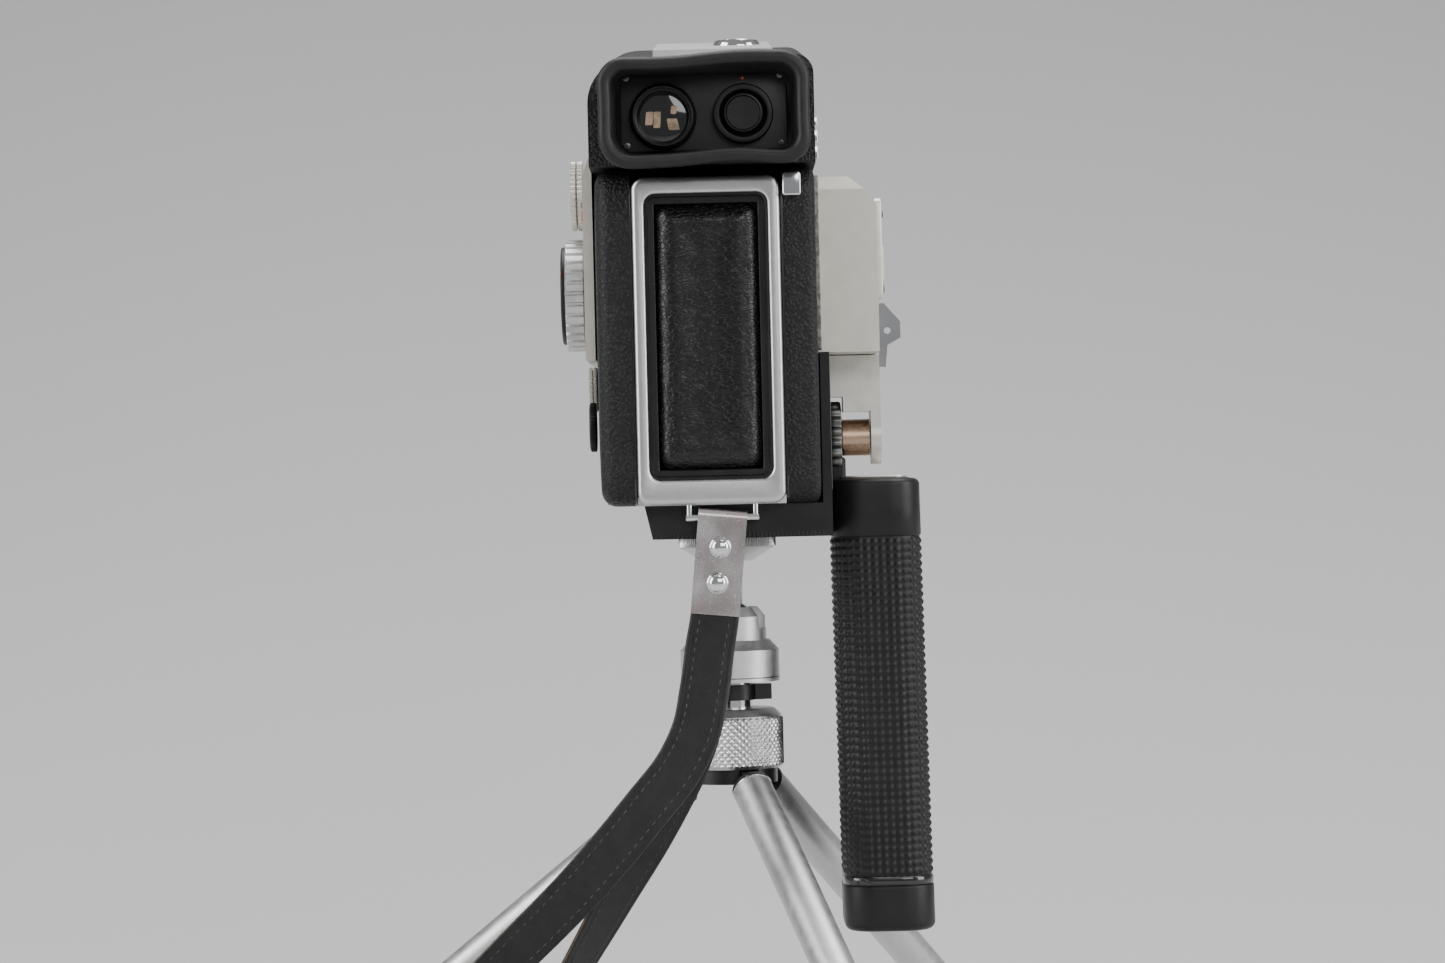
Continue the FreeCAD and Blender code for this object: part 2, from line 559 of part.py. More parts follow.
def make_finder():
    rear, front = S["finder_rear"], S["body_front"]
    roof_rear, roof_front = roof_line(0)
    shell = extruded("finder_shell", "YZ_Plane", [
        (rear, S["finder_low"]), (front, S["finder_low"]), (front, roof_front),
        (rear, roof_rear)], S["body_left"], S["body_right"])
    width = (S["body_right"] - S["body_left"]).value
    upper = (S["finder_low"] + 15).value
    rounded(shell, Y_AXIS, S["left_round"], lambda spot: spot.x < 1 and spot.z > upper)
    rounded(shell, Y_AXIS, S["right_round"],
            lambda spot: spot.x > width - 1 and spot.z > upper)
    wall = S["shell_wall"]
    inner_rear, inner_front = roof_line(S["shell_wall"] * 2)
    cavity = extruded("finder_cavity", "YZ_Plane", [
        (rear + wall, S["finder_low"] + wall), (front - wall, S["finder_low"] + wall),
        (front - wall, inner_front), (rear + wall, inner_rear)],
        S["body_left"] + wall * 2, S["body_right"] - wall * 2)
    stem_hole = rod("finder_stem_hole", S["button_stem"] + S["fit_gap"] * 2, S["finder_top_rear"],
                    S["button_high"] + 2, x=S["button_x"], y=S["button_y"])
    keep(cut("finder", shell, cavity, stem_hole), "finder_housing")
    plate_rear, plate_front = roof_line(-S["plate_thickness"])
    plate = extruded("top_sheet", "YZ_Plane", [
        (rear, roof_rear), (front, roof_front), (front, plate_front), (rear, plate_rear)],
        S["plate_left"], S["plate_right"])
    plate_hole = rod("plate_hole", S["button_stem"] + S["fit_gap"] * 2, S["finder_top_rear"],
                     S["button_high"] + 2, x=S["button_x"], y=S["button_y"])
    keep(cut("top", plate, plate_hole), "top_plate")
    crown = S["button_radius"]
    keep(turned("button", [(0, S["finder_top_rear"]), (S["button_stem"], S["finder_top_rear"]),
                           (S["button_stem"], S["button_low"]), (crown, S["button_low"]),
                           (crown, S["button_high"] - 1), (crown - 1, S["button_high"]),
                           (0, S["button_high"])], x=S["button_x"], y=S["button_y"]),
         "release_button")


def make_eyepieces():
    outer = extruded("cup_outer", "XZ_Plane",
                     rectangle(S["cup_left"], S["cup_right"], S["cup_low"], S["cup_high"]),
                     S["cup_rear"], S["finder_rear"])
    rounded(outer, Y_AXIS, S["cup_round"])
    wall = S["cup_wall"]
    inner = extruded("cup_inner", "XZ_Plane",
                     rectangle(S["cup_left"] + wall, S["cup_right"] - wall,
                               S["cup_low"] + wall, S["cup_high"] - wall),
                     S["cup_rear"] - 1, S["finder_rear"] + 1)
    rounded(inner, Y_AXIS, S["cup_round"] - wall)
    keep(cut("cup", outer, inner), "eyecup")
    neck = S["eye_lens_radius"] - S["eye_neck_step"]
    block = box("eyeplate_block", (S["eyeplate_left"], S["eyeplate_right"]),
                (S["eyeplate_rear"], S["finder_rear"]), (S["eyeplate_low"], S["eyeplate_high"]))
    hole = rod("eyeplate_hole", neck + S["fit_gap"], S["eyeplate_rear"] - 1,
               S["eyeplate_rear"] + S["eyeplate_socket"], x=S["eye_x"], z=S["eye_height"], facing="Y")
    keep(cut("eyeplate", block, hole), "eyepiece_plate")
    rise = S["eyeplate_rear"] - S["eye_ring_rear"]
    ring, lens = S["eye_ring"], S["eye_lens_radius"]
    tail, gap, seat = -S["eye_tail"], S["eye_ring_gap"], S["eye_seat"]
    keep(turned("dioptre", [(0, tail), (neck, tail), (neck, gap), (ring, gap), (ring, rise),
                            (lens, rise), (lens, seat), (0, seat)],
                x=S["eye_x"], y=S["eyeplate_rear"], z=S["eye_height"], facing="-Y"),
         "dioptre_ring")
    keep(turned("eye_glass", [(0, seat), (lens, seat), (lens, S["eye_edge"]),
                              (lens / 2, S["eye_slope"]), (0, S["eye_crown"])],
                x=S["eye_x"], y=S["eyeplate_rear"], z=S["eye_height"], facing="-Y"),
         "eye_lens")
    depth = S["eyeplate_rear"] - S["meter_rear"]
    meter, bore = S["meter_ring"], S["meter_bore"]
    keep(turned("meter", [(0, 0), (meter, 0), (meter, depth), (bore, depth),
                          (bore, S["meter_floor"]), (0, S["meter_floor"])],
                x=S["meter_x"], y=S["eyeplate_rear"], z=S["meter_height"], facing="-Y"),
         "meter_eyepiece")


# ---------------------------------------------------------------- controls on the left side
def left_wheel(name, radius, outer, base, height, y):
    """A plain disc on the left side, its face towards -X."""
    thick = base - outer
    return turned(name, [(0, 0), (radius, 0), (radius, thick), (0, thick)],
                  x=base, y=y, z=height, facing="-X")


def make_left_controls():
    face, back = S["dial_face"], S["body_left"] - 0.05
    plate = extruded("dial_block", "XZ_Plane", [
        (face, S["dial_low"]), (back, S["dial_low"]), (back, S["dial_high"]),
        (face, S["dial_high"] - S["dial_bevel"])], S["dial_rear"], S["dial_front"])
    keep(cut("dial", plate, arbor_hole("dial_hole", face - 1, back + 1)), "dial_plate")
    base = face - S["wheel_gap"]
    keep(left_wheel("speed", S["speed_radius"], S["speed_outer"], base, S["speed_height"],
                    S["knob_y"]), "speed_wheel")
    rim, cap = S["knob_radius"], S["cap_radius"]
    step, top = base - S["knob_outer"], base - S["cap_outer"]
    arbor, tail = S["arbor_radius"], base - S["arbor_inner"]
    keep(turned("knob", [(0, tail), (arbor, tail), (arbor, 0), (rim, 0), (rim, step),
                         (cap, step), (cap, top), (0, top)],
                x=base, y=S["knob_y"], z=S["knob_height"], facing="-X"), "winding_knob")
    low_base = S["body_left"] - S["wheel_gap"]
    keep(left_wheel("counter", S["counter_radius"], S["counter_outer"], low_base,
                    S["counter_height"], S["knob_y"]), "counter_wheel")
    keep(left_wheel("battery", S["battery_radius"], S["battery_outer"], low_base,
                    S["battery_height"], S["battery_y"]), "battery_cap")


# ---------------------------------------------------------------- right side and grip
def make_side_housing():
    left, right = S["body_right"] + S["housing_gap"], S["housing_right"]
    rear, front = S["housing_rear"], S["housing_front"]
    low, high = S["housing_low"] + S["housing_gap"], S["housing_high"]
    shoulder = rear + S["housing_shelf"]
    solid = extruded("housing_solid", "YZ_Plane", [
        (rear, low), (front, low), (front, high + S["housing_slope"]),
        (shoulder, high + S["housing_slope"]), (rear, high)], left, right)
    slope = extruded("housing_bevel", "XZ_Plane", [
        (right - S["housing_bevel_in"], high + S["housing_bevel_up"]),
        (right + 1, high - S["housing_bevel_down"]), (right + 1, high + S["housing_bevel_up"])],
        rear - 1, front + 1)
    wall = S["shell_wall"]
    hollow = box("housing_hollow", (left - 1, right - wall), (rear + wall, front - wall),
                 (low + wall, high - wall * 2))
    keep(cut("side", solid, slope, hollow), "side_housing")
    lug_x, up, half = S["lever_x"], S["lever_height"], S["lever_thickness"] / 2
    waist, wing = lug_x + S["lug_waist"], lug_x + S["lug_wing"]
    plate = extruded("lug_plate", "XZ_Plane", [
        (lug_x, up - S["lug_tab_drop"]), (lug_x + S["lug_tab"], up - S["lug_tab_drop"]),
        (waist, up - S["lug_waist_drop"]), (wing, up - S["lug_wing_drop"]),
        (wing, up + S["lug_wing_rise"]), (lug_x + S["lug_tip"], up + S["lug_rise"]),
        (lug_x, up + S["lug_rise"])],
        S["lever_y"] - half, S["lever_y"] + half)
    eye = rod("lug_eye", S["lug_eye_radius"], S["lever_y"] - S["lever_thickness"],
              S["lever_y"] + S["lever_thickness"], x=waist, z=up, facing="Y")
    keep(cut("lug", plate, eye), "side_lug")


def make_bracket():
    left, right, axis = S["cradle_right"], S["bracket_right"], S["grip_pivot"]
    middle, half = S["grip_y"], S["bracket_half"]
    arm = extruded("bracket_arm", "XZ_Plane", [
        (left, S["bracket_top"]), (left, S["notch_low"]), (S["notch_step"], S["notch_low"]),
        (S["notch_step"], S["notch_low_right"]), (S["cheek_left"], S["notch_low_right"]),
        (S["cheek_left"], axis), (right, axis), (right, S["bracket_top"])],
        middle - half, middle + half)
    lug = rod("bracket_lug", S["lug_radius"], S["cheek_left"], right, y=middle, z=axis,
              facing="X")
    hole = rod("bracket_hole", S["grip_pin"] + S["fit_gap"], left, right + 1, y=middle, z=axis,
               facing="X")
    keep(cut("bracket", fused("bracket_solid", arm, lug), hole), "grip_bracket")
    pin, barrel = S["grip_pin"], S["shaft_radius"]
    shaft_left, shaft_right = S["shaft_left"], S["shaft_right"]
    start = S["body_right"] + S["shaft_start_gap"]
    keep(turned("shaft", [(0, start), (pin, start), (pin, shaft_left), (barrel, shaft_left),
                          (barrel, shaft_right), (pin, shaft_right), (pin, right - S["pin_end_gap"]),
                          (0, right - S["pin_end_gap"])], y=middle, z=axis, facing="X"), "grip_shaft")
    bore = pin + S["fit_gap"]
    keep(turned("thumb", [(bore, S["thumb_left"]), (S["thumb_radius"], S["thumb_left"]),
                          (S["thumb_radius"], S["thumb_right"]), (bore, S["thumb_right"])],
                y=middle, z=axis, facing="X"), "thumbwheel")


def grip_section(name, low, high):
    """A length of the grip: a rectangle with well-rounded upright edges."""
    body = extruded(name, "XY_Plane",
                    rectangle(S["grip_left"], S["grip_right"], S["grip_y"] - S["grip_half"],
                              S["grip_y"] + S["grip_half"]), low, high)
    return rounded(body, Z_AXIS, S["grip_round"])


def make_grip():
    head = grip_section("head_block", S["sleeve_top"], S["grip_top"])
    neck_low, neck_high = S["grip_top"] - 1, S["grip_pivot"] - S["saddle"]
    neck = box("head_neck", (S["shaft_left"] + 0.6, S["shaft_right"] - 0.6),
               (S["grip_y"] - S["neck_half"], S["grip_y"] + S["neck_half"]),
               (neck_low, neck_high))
    saddle = rod("head_saddle", S["shaft_radius"], S["shaft_left"], S["shaft_right"],
                 y=S["grip_y"], z=S["grip_pivot"], facing="X")
    keep(cut("head", fused("head_solid", head, neck), saddle), "grip_head")
    sleeve = grip_section("sleeve_block", S["sleeve_low"], S["sleeve_top"])
    bore = rod("sleeve_bore", S["grip_round"], S["sleeve_low"] - 1, S["sleeve_top"] + 1,
               x=(S["grip_left"] + S["grip_right"]) / 2, y=S["grip_y"])
    keep(cut("sleeve", sleeve, bore), "grip_sleeve")
    keep(grip_section("end_block", S["end_low"], S["sleeve_low"]), "grip_end_cap")


make_cradle()
make_covers()
make_rear_door()
make_finder()
make_eyepieces()
make_left_controls()
make_side_housing()
make_bracket()
make_grip()


# ---------------------------------------------------------------- hand strap
# Middle line of the leather loop as (x, y, height, twist): down the rear layer, round the
# end and back up the front layer. Twist 0 and 180 show the leather's face to the rear.
STRAP_LINE = [
    (-2.3, -49.65, 172.0, 0), (-3.75, -49.65, 157.5, 0), (-5.4, -49.9, 148.5, 0),
    (-7.0, -50.6, 138.3, 0), (-9.6, -51.4, 127.0, 0), (-14.6, -52.3, 117.2, 0),
    (-22.4, -53.4, 107.6, 0), (-31.0, -54.4, 97.6, 2), (-39.6, -55.3, 88.2, 5),
    (-48.6, -56.0, 79.2, 9), (-58.8, -56.6, 69.6, 14), (-70.5, -57.0, 58.2, 24),
    (-82.0, -57.2, 45.6, 40), (-92.0, -57.2, 32.2, 60), (-99.5, -57.2, 19.4, 78),
    (-100.8, -57.2, 10.2, 90), (-95.0, -57.1, 5.4, 90), (-86.8, -56.6, 7.6, 92),
    (-77.0, -55.2, 17.0, 100), (-66.6, -53.0, 30.0, 108), (-56.4, -51.0, 44.0, 116),
    (-46.6, -49.4, 58.6, 124), (-37.6, -48.4, 73.2, 133), (-29.8, -47.9, 86.4, 143),
    (-22.8, -47.7, 98.2, 154), (-17.4, -47.6, 108.2, 164), (-12.9, -47.6, 117.4, 173),
    (-9.2, -47.7, 127.2, 179), (-6.7, -47.8, 138.3, 180), (-5.2, -47.9, 148.5, 180),
    (-3.75, -47.95, 157.5, 180), (-2.3, -47.95, 172.0, 180)]


def on_clip(item, x=0, y=0, z=0, facing="Z"):
    """Place an object in the clip's own frame: the bail wire is its origin, -Z runs down."""
    middle = (S["bail_left"] + S["bail_right"]) / 2
    wire = SHIFT.format(x=(S["axis_x"] + middle).formula, y=(S["axis_y"] + S["bail_y"]).formula,
                        z=S["bail_height"].formula)
    tilt = TURN.format(axis="0; 1; 0", angle=S["clip_tilt"].formula)
    *axis, angle = FACING[facing] or (0, 0, 1, 0)
    local = SHIFT.format(x=as_size(x).formula, y=as_size(y).formula, z=as_size(z).formula)
    turn = TURN.format(axis="; ".join(str(part) for part in axis), angle=angle)
    return set_whole_place(item, f"create(<<placement>>; {wire}; {tilt}) * "
                           f"create(<<placement>>; {local}; {turn})")


def clip_block(name, half_x, half_y, low, high):
    """A block in the clip's frame, centred on its middle."""
    block = doc.addObject("Part::Box", name)
    for side, size in zip(("Length", "Width", "Height"),
                          (as_size(half_x) * 2, as_size(half_y) * 2, as_size(high) - low)):
        block.setExpression(side, size.formula)
    return on_clip(block, -as_size(half_x), -as_size(half_y), low)


def clip_rod(name, radius, half, facing, z=0):
    """A cylinder through the clip, centred on its middle."""
    bar = doc.addObject("Part::Cylinder", name)
    bar.setExpression("Radius", as_size(radius).formula)
    bar.setExpression("Height", (as_size(half) * 2).formula)
    start = {"X": (-as_size(half), 0, z), "Y": (0, -as_size(half), z)}[facing]
    return on_clip(bar, *start, facing=facing)


RIVET_DROPS = (-8.0, -17.5)
RIVET_SHANK = 1.2


def make_bail_and_clip():
    left, right, wire = S["bail_left"], S["bail_right"], S["bail_wire"]
    bar = rod("bail_bar", wire, left, right, y=S["bail_y"], z=S["bail_height"], facing="X")
    posts = [rod(f"bail_post_{side}", wire * 0.85, S["bail_height"], S["body_low"], x=x,
                 y=S["bail_y"]) for side, x in (("left", left + wire), ("right", right - wire))]
    keep(fused("bail", bar, *posts), "strap_bail")
    half, deep, sheet_thick = S["clip_width"] / 2, S["clip_half"], S["clip_sheet"]
    outer = clip_block("clip_outer", half, deep, -S["clip_length"], 0)
    fold = clip_rod("clip_fold", deep, half, "X")
    slot = clip_block("clip_slot", half + 1, deep - sheet_thick, -S["clip_length"] - 1, -3)
    bore = clip_rod("clip_bore", wire + S["bail_clearance"], half + 1, "X")
    folded = cut("clip_folded", fused("clip_solid", outer, fold), slot, bore)
    studs = []
    for number, drop in enumerate(RIVET_DROPS):
        studs.append(clip_rod(f"rivet_{number}", RIVET_SHANK, deep, "Y", drop))
        dome, rise = S["rivet_radius"], S["rivet_rise"]
        head = turned(f"rivet_head_{number}", [
            (0, 0), (dome, 0), (dome * 0.88, rise * 0.5), (dome * 0.5, rise * 0.88), (0, rise)])
        studs.append(on_clip(head, y=-deep, z=drop, facing="-Y"))
    keep(fused("clip", folded, *studs), "strap_clip")


def strap_section(before, spot, after, twist):
    """The four corners of the leather, square to the line at one of its points."""
    along = (after - before).normalize()
    face = along.cross(Y_AXIS).normalize()
    width = face * math.cos(twist) + Y_AXIS * math.sin(twist)
    width = (width - along * width.dot(along)).normalize()
    thick = width.cross(along)
    wide, deep = S["strap_width"].value / 2, S["strap_thickness"].value / 2
    return [spot + width * (wide * across) + thick * (deep * through)
            for across, through in ((-1, -1), (1, -1), (1, 1), (-1, 1))]


def make_strap():
    """A flat leather loop, twisted by a quarter turn towards its end and back."""
    spots = [Vector(x, y, height) for x, y, height, twist in STRAP_LINE]
    last = len(spots) - 1
    sections = [strap_section(spots[max(number - 1, 0)], spot, spots[min(number + 1, last)],
                              math.radians(STRAP_LINE[number][3]))
                for number, spot in enumerate(spots)]
    faces = [sections[0], sections[-1]]
    for here, there in zip(sections, sections[1:]):
        for corner in range(4):
            after = (corner + 1) % 4
            faces.append((here[corner], here[after], there[after]))
            faces.append((here[corner], there[after], there[corner]))
    sides = [Part.Face(Part.makePolygon([*face, face[0]])) for face in faces]
    solid = Part.Solid(Part.Shell(sides))
    band = doc.addObject("Part::Feature", "strap_band")
    band.Shape = solid if solid.Volume > 0 else solid.reversed()
    place(band)
    holes = [clip_rod(f"strap_hole_{number}", RIVET_SHANK, S["clip_half"], "Y", drop)
             for number, drop in enumerate(RIVET_DROPS)]
    keep(cut("strap_loop", band, *holes), "strap")


# ---------------------------------------------------------------- lens and film transport
def on_lens(name, points):
    """A turned piece on the lens axis, measured forward from the front plate."""
    return turned(name, points, x=S["lens_x"], y=S["body_front"] + S["front_thickness"],
                  z=S["lens_height"], facing="Y")


def make_lens():
    bore, outer, glass = S["barrel_bore"], S["barrel_radius"], S["glass_radius"]
    end, seat = S["barrel_end"], S["glass_start"]
    keep(on_lens("barrel", [
        (bore, 0), (S["flange_radius"], 0), (S["flange_radius"], S["flange_thickness"]),
        (outer, S["flange_thickness"]), (outer, end), (glass, end), (glass, seat),
        (bore, seat)]), "lens_barrel")
    start, front = S["focus_start"], S["focus_end"]
    step = front - S["filter_depth"]
    keep(on_lens("focus", [
        (S["focus_bore"], start), (S["focus_radius"], start), (S["focus_radius"], front),
        (S["filter_bore"], front), (S["filter_bore"], step), (S["focus_bore"], step)]),
        "focus_ring")
    edge, crown = S["glass_edge"], S["glass_crown"]
    keep(on_lens("glass", [
        (0, seat), (glass, seat), (glass, seat + edge), (glass * 0.6, seat + edge + crown * 0.7),
        (0, seat + edge + crown)]), "front_lens")


def make_chassis():
    """The upright plate that carries the film transport, bent over to hold the film gate."""
    low, high = S["body_low"] + S["shell_wall"], S["body_high"] - S["shell_wall"]
    front = S["deck_front"]
    rear = S["door_front"] + 1
    deck = box("deck", (S["deck_left"], S["deck_right"]), (rear, front), (low, high))
    gate = box("gate", (S["deck_left"], S["gate_right"]), (front - S["gate_thickness"], front),
               (S["gate_low"], high))
    half = S["aperture_half"]
    aperture = box("aperture", (S["lens_x"] - half, S["lens_x"] + half), (front - 5, front + 1),
                   (S["lens_height"] - half, S["lens_height"] + half))
    holes = [rod(f"spindle_hole_{number}", S["arbor_radius"] + S["fit_gap"],
                 S["deck_left"] - 1, S["deck_right"] + 1, y=S["spool_y"], z=height, facing="X")
             for number, height in enumerate((S["supply_height"], S["take_up_height"]))]
    keep(cut("chassis", fused("chassis_solid", deck, gate), aperture, *holes), "mechanism_plate")


def spool(name, height):
    """A film spool on its own spindle, which passes through the mechanism plate."""
    left, right, wall = S["spool_left"], S["spool_right"], S["flange_wall"]
    rim, hub, pin = S["spool_radius"], S["spool_hub"], S["arbor_radius"]
    tail = S["deck_left"] - 1
    return turned(name, [
        (0, tail), (pin, tail), (pin, left), (rim, left), (rim, left + wall),
        (hub, left + wall), (hub, right - wall), (rim, right - wall), (rim, right), (0, right)],
        y=S["spool_y"], z=height, facing="X")


def make_transport():
    keep(spool("supply", S["supply_height"]), "supply_spool")
    keep(spool("take_up", S["take_up_height"]), "take_up_spool")
    bore = S["arbor_radius"] + S["fit_gap"]
    left, right = S["barrel_left"], S["deck_left"] - 1
    keep(turned("drum", [(bore, left), (S["spring_radius"], left), (S["spring_radius"], right),
                         (bore, right)], y=S["knob_y"], z=S["knob_height"], facing="X"),
         "spring_barrel")
    radius, centre = S["shutter_radius"], S["lens_height"] - S["shutter_drop"]
    hub, pin, sheet = S["shutter_hub"], S["shutter_pin"], S["shutter_sheet"]
    disc = turned("shutter_turned", [(0, -hub), (pin, -hub), (pin, 0), (radius, 0),
                                     (radius, sheet), (hub, sheet), (hub, hub), (0, hub)],
                  x=S["lens_x"], y=S["shutter_y"], z=centre, facing="Y")
    window = box("shutter_window", (S["lens_x"] + S["shutter_notch"], S["lens_x"] + radius),
                 (S["shutter_y"] - sheet, S["shutter_y"] + sheet * 2),
                 (centre - S["shutter_notch_half"], centre + S["shutter_notch_half"]))
    keep(cut("shutter", disc, window), "shutter_disc")


make_bail_and_clip()
make_strap()
make_lens()
make_chassis()
make_transport()

# ---------------------------------------------------------------- check and write
doc.recompute()
for item in doc.Objects:
    broken = {"Invalid", "Error"} & set(item.State)
    if broken:
        raise RuntimeError(f"{item.Name} is {sorted(broken)}")
for item in SUB_PARTS:
    if item.Shape.isNull() or not item.Shape.isValid() or not item.Shape.Solids:
        raise RuntimeError(f"{item.Label} has no sound shape")
os.makedirs("parts", exist_ok=True)
for item in SUB_PARTS:
    item.Shape.exportStep(f"parts/{item.Label}.step")
print(f"{len(SUB_PARTS)} sub-parts written")
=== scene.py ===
"""Looks of a hand-held film camera on a folding pocket tripod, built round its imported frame."""
import bpy
import bmesh
import json
import math
from mathutils import Matrix, Vector, noise


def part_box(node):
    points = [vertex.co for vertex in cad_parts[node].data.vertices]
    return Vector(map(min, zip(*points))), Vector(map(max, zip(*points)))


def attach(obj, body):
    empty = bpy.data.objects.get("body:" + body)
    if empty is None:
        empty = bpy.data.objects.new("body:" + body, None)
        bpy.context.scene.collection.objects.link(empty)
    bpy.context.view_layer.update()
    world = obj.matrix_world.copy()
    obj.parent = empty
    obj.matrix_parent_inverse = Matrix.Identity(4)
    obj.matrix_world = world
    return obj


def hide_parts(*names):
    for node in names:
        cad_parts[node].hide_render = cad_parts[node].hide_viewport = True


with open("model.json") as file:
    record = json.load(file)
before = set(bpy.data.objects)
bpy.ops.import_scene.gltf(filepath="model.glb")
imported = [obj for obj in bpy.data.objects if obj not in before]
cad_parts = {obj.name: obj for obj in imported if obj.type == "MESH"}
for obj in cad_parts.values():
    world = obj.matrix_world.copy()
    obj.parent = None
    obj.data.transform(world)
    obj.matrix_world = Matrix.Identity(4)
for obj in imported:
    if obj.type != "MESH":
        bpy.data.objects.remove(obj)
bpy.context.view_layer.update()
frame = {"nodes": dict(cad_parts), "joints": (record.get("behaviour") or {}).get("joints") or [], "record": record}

bl_info = {
    "name": "Film Camera on Tripod",
    "version": (1, 0, 0),
    "blender": (4, 5, 0),
    "location": "View3D > Sidebar > Camera",
    "description": "Detailed pieces, finishes and studio for a film camera on a pocket tripod",
    "category": "Object",
}

MM = 0.001
X, Y, Z = Vector((1, 0, 0)), Vector((0, 1, 0)), Vector((0, 0, 1))
NODES = frame["nodes"]


def middle(node):
    """Centre of a CAD node's box."""
    low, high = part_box(node)
    return (low + high) / 2


def joint(name):
    """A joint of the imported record, by name."""
    return next(item for item in frame["joints"] if item["name"] == name)


TRIPOD = middle("head_post")
LEG_AXES = {number: Vector(joint(f"leg_{number}_extend")["axis"]) for number in (1, 2, 3)}
LEG_PIVOTS = {number: Vector(joint(f"leg_{number}_spread")["pos_m"]) for number in (1, 2, 3)}


# ------------------------------------------------------------------ settings
class FilmCameraSizes(bpy.types.PropertyGroup):
    """Sizes of surface detail that a user may want to change."""
    edge_round: bpy.props.FloatProperty(
        name="Edge Rounding", description="Radius of the small bevels on metal and plastic",
        default=0.35 * MM, unit="LENGTH")
    knurl_pitch: bpy.props.FloatProperty(
        name="Knurl Pitch", description="Distance between the diamonds on the collar",
        default=1.9 * MM, unit="LENGTH")
    knurl_depth: bpy.props.FloatProperty(
        name="Knurl Depth", description="Height of the diamonds on the collar",
        default=0.45 * MM, unit="LENGTH")
    grip_pitch: bpy.props.FloatProperty(
        name="Grip Pitch", description="Distance between the studs on the grip sleeve",
        default=2.1 * MM, unit="LENGTH")
    grip_relief: bpy.props.FloatProperty(
        name="Grip Relief", description="Height of the studs on the grip sleeve",
        default=0.55 * MM, unit="LENGTH")
    lip_radius: bpy.props.FloatProperty(
        name="Eyecup Lip", description="Thickness of the eyecup's rolled lip",
        default=1.9 * MM, unit="LENGTH")
    stitch_pitch: bpy.props.FloatProperty(
        name="Stitch Pitch", description="Distance between the strap's stitches",
        default=2.5 * MM, unit="LENGTH")


class FilmCameraColours(bpy.types.PropertyGroup):
    """Colours that a user may want to change."""
    painted: bpy.props.FloatVectorProperty(
        name="Painted Panels", description="Warm white paint of the side housing and dial plate",
        subtype="COLOR", size=3, min=0, max=1, default=(0.68, 0.65, 0.57))
    silver: bpy.props.FloatVectorProperty(
        name="Satin Silver", description="Satin metal of the frame and tripod",
        subtype="COLOR", size=3, min=0, max=1, default=(0.60, 0.60, 0.595))
    leather: bpy.props.FloatVectorProperty(
        name="Leather", description="Grained covering of the body",
        subtype="COLOR", size=3, min=0, max=1, default=(0.012, 0.012, 0.0125))
    mark: bpy.props.FloatVectorProperty(
        name="Index Marks", description="Small painted index marks",
        subtype="COLOR", size=3, min=0, max=1, default=(0.62, 0.02, 0.015))
    backdrop: bpy.props.FloatVectorProperty(
        name="Backdrop", description="Pale studio floor and backdrop",
        subtype="COLOR", size=3, min=0, max=1, default=(0.5084, 0.5043, 0.5084))


def sizes():
    return bpy.context.scene.film_camera_sizes


def colours():
    return bpy.context.scene.film_camera_colours


# ------------------------------------------------------------------ shader effects
def new_effect(name, inputs, outputs):
    """An empty shader group with named sockets, returned with its input and output sockets."""
    group = bpy.data.node_groups.new(name, "ShaderNodeTree")
    for label, kind, default in inputs:
        socket = group.interface.new_socket(label, in_out="INPUT", socket_type=kind)
        if default is not None:
            socket.default_value = default
    for label in outputs:
        group.interface.new_socket(label, in_out="OUTPUT", socket_type="NodeSocketFloat")
    source = group.nodes.new("NodeGroupInput")
    target = group.nodes.new("NodeGroupOutput")
    return group, source.outputs, target.inputs


def add(tree, kind, links=(), **settings):
    """Add a node; settings name its properties, links pair its inputs with sockets or values."""
    node = tree.nodes.new(kind)
    for key, value in settings.items():
        setattr(node, key, value)
    for key, value in dict(links).items():
        socket = node.inputs[key]
        if isinstance(value, bpy.types.NodeSocket):
            tree.links.new(value, socket)
        else:
            socket.default_value = value
    return node


VECTOR, FLOAT = "NodeSocketVector", "NodeSocketFloat"
CREASE_STRETCH = (0.5, 1, 1.4)
POSITION_AND_SCALE = [("Position", VECTOR, None), ("Scale", FLOAT, 1.0)]


def scaled(tree, source):
    """The position socket times the scale socket."""
    return add(tree, "ShaderNodeVectorMath", {0: source["Position"], "Scale": source["Scale"]},
               operation="SCALE").outputs[0]


def effect_blast():
    """Bead-blasted metal and fine paint: an even, fine noise with slow clouds."""
    group, source, target = new_effect("blasted surface", POSITION_AND_SCALE,
                                       ["Height", "Tone"])
    place = scaled(group, source)
    fine = add(group, "ShaderNodeTexNoise", {"Vector": place, "Scale": 1.0, "Detail": 3.0,
                                             "Roughness": 0.6})
    slow = add(group, "ShaderNodeTexNoise", {"Vector": place, "Scale": 0.035, "Detail": 4.0,
                                             "Roughness": 0.55})
    group.links.new(fine.outputs["Fac"], target["Height"])
    group.links.new(slow.outputs["Fac"], target["Tone"])
    return group


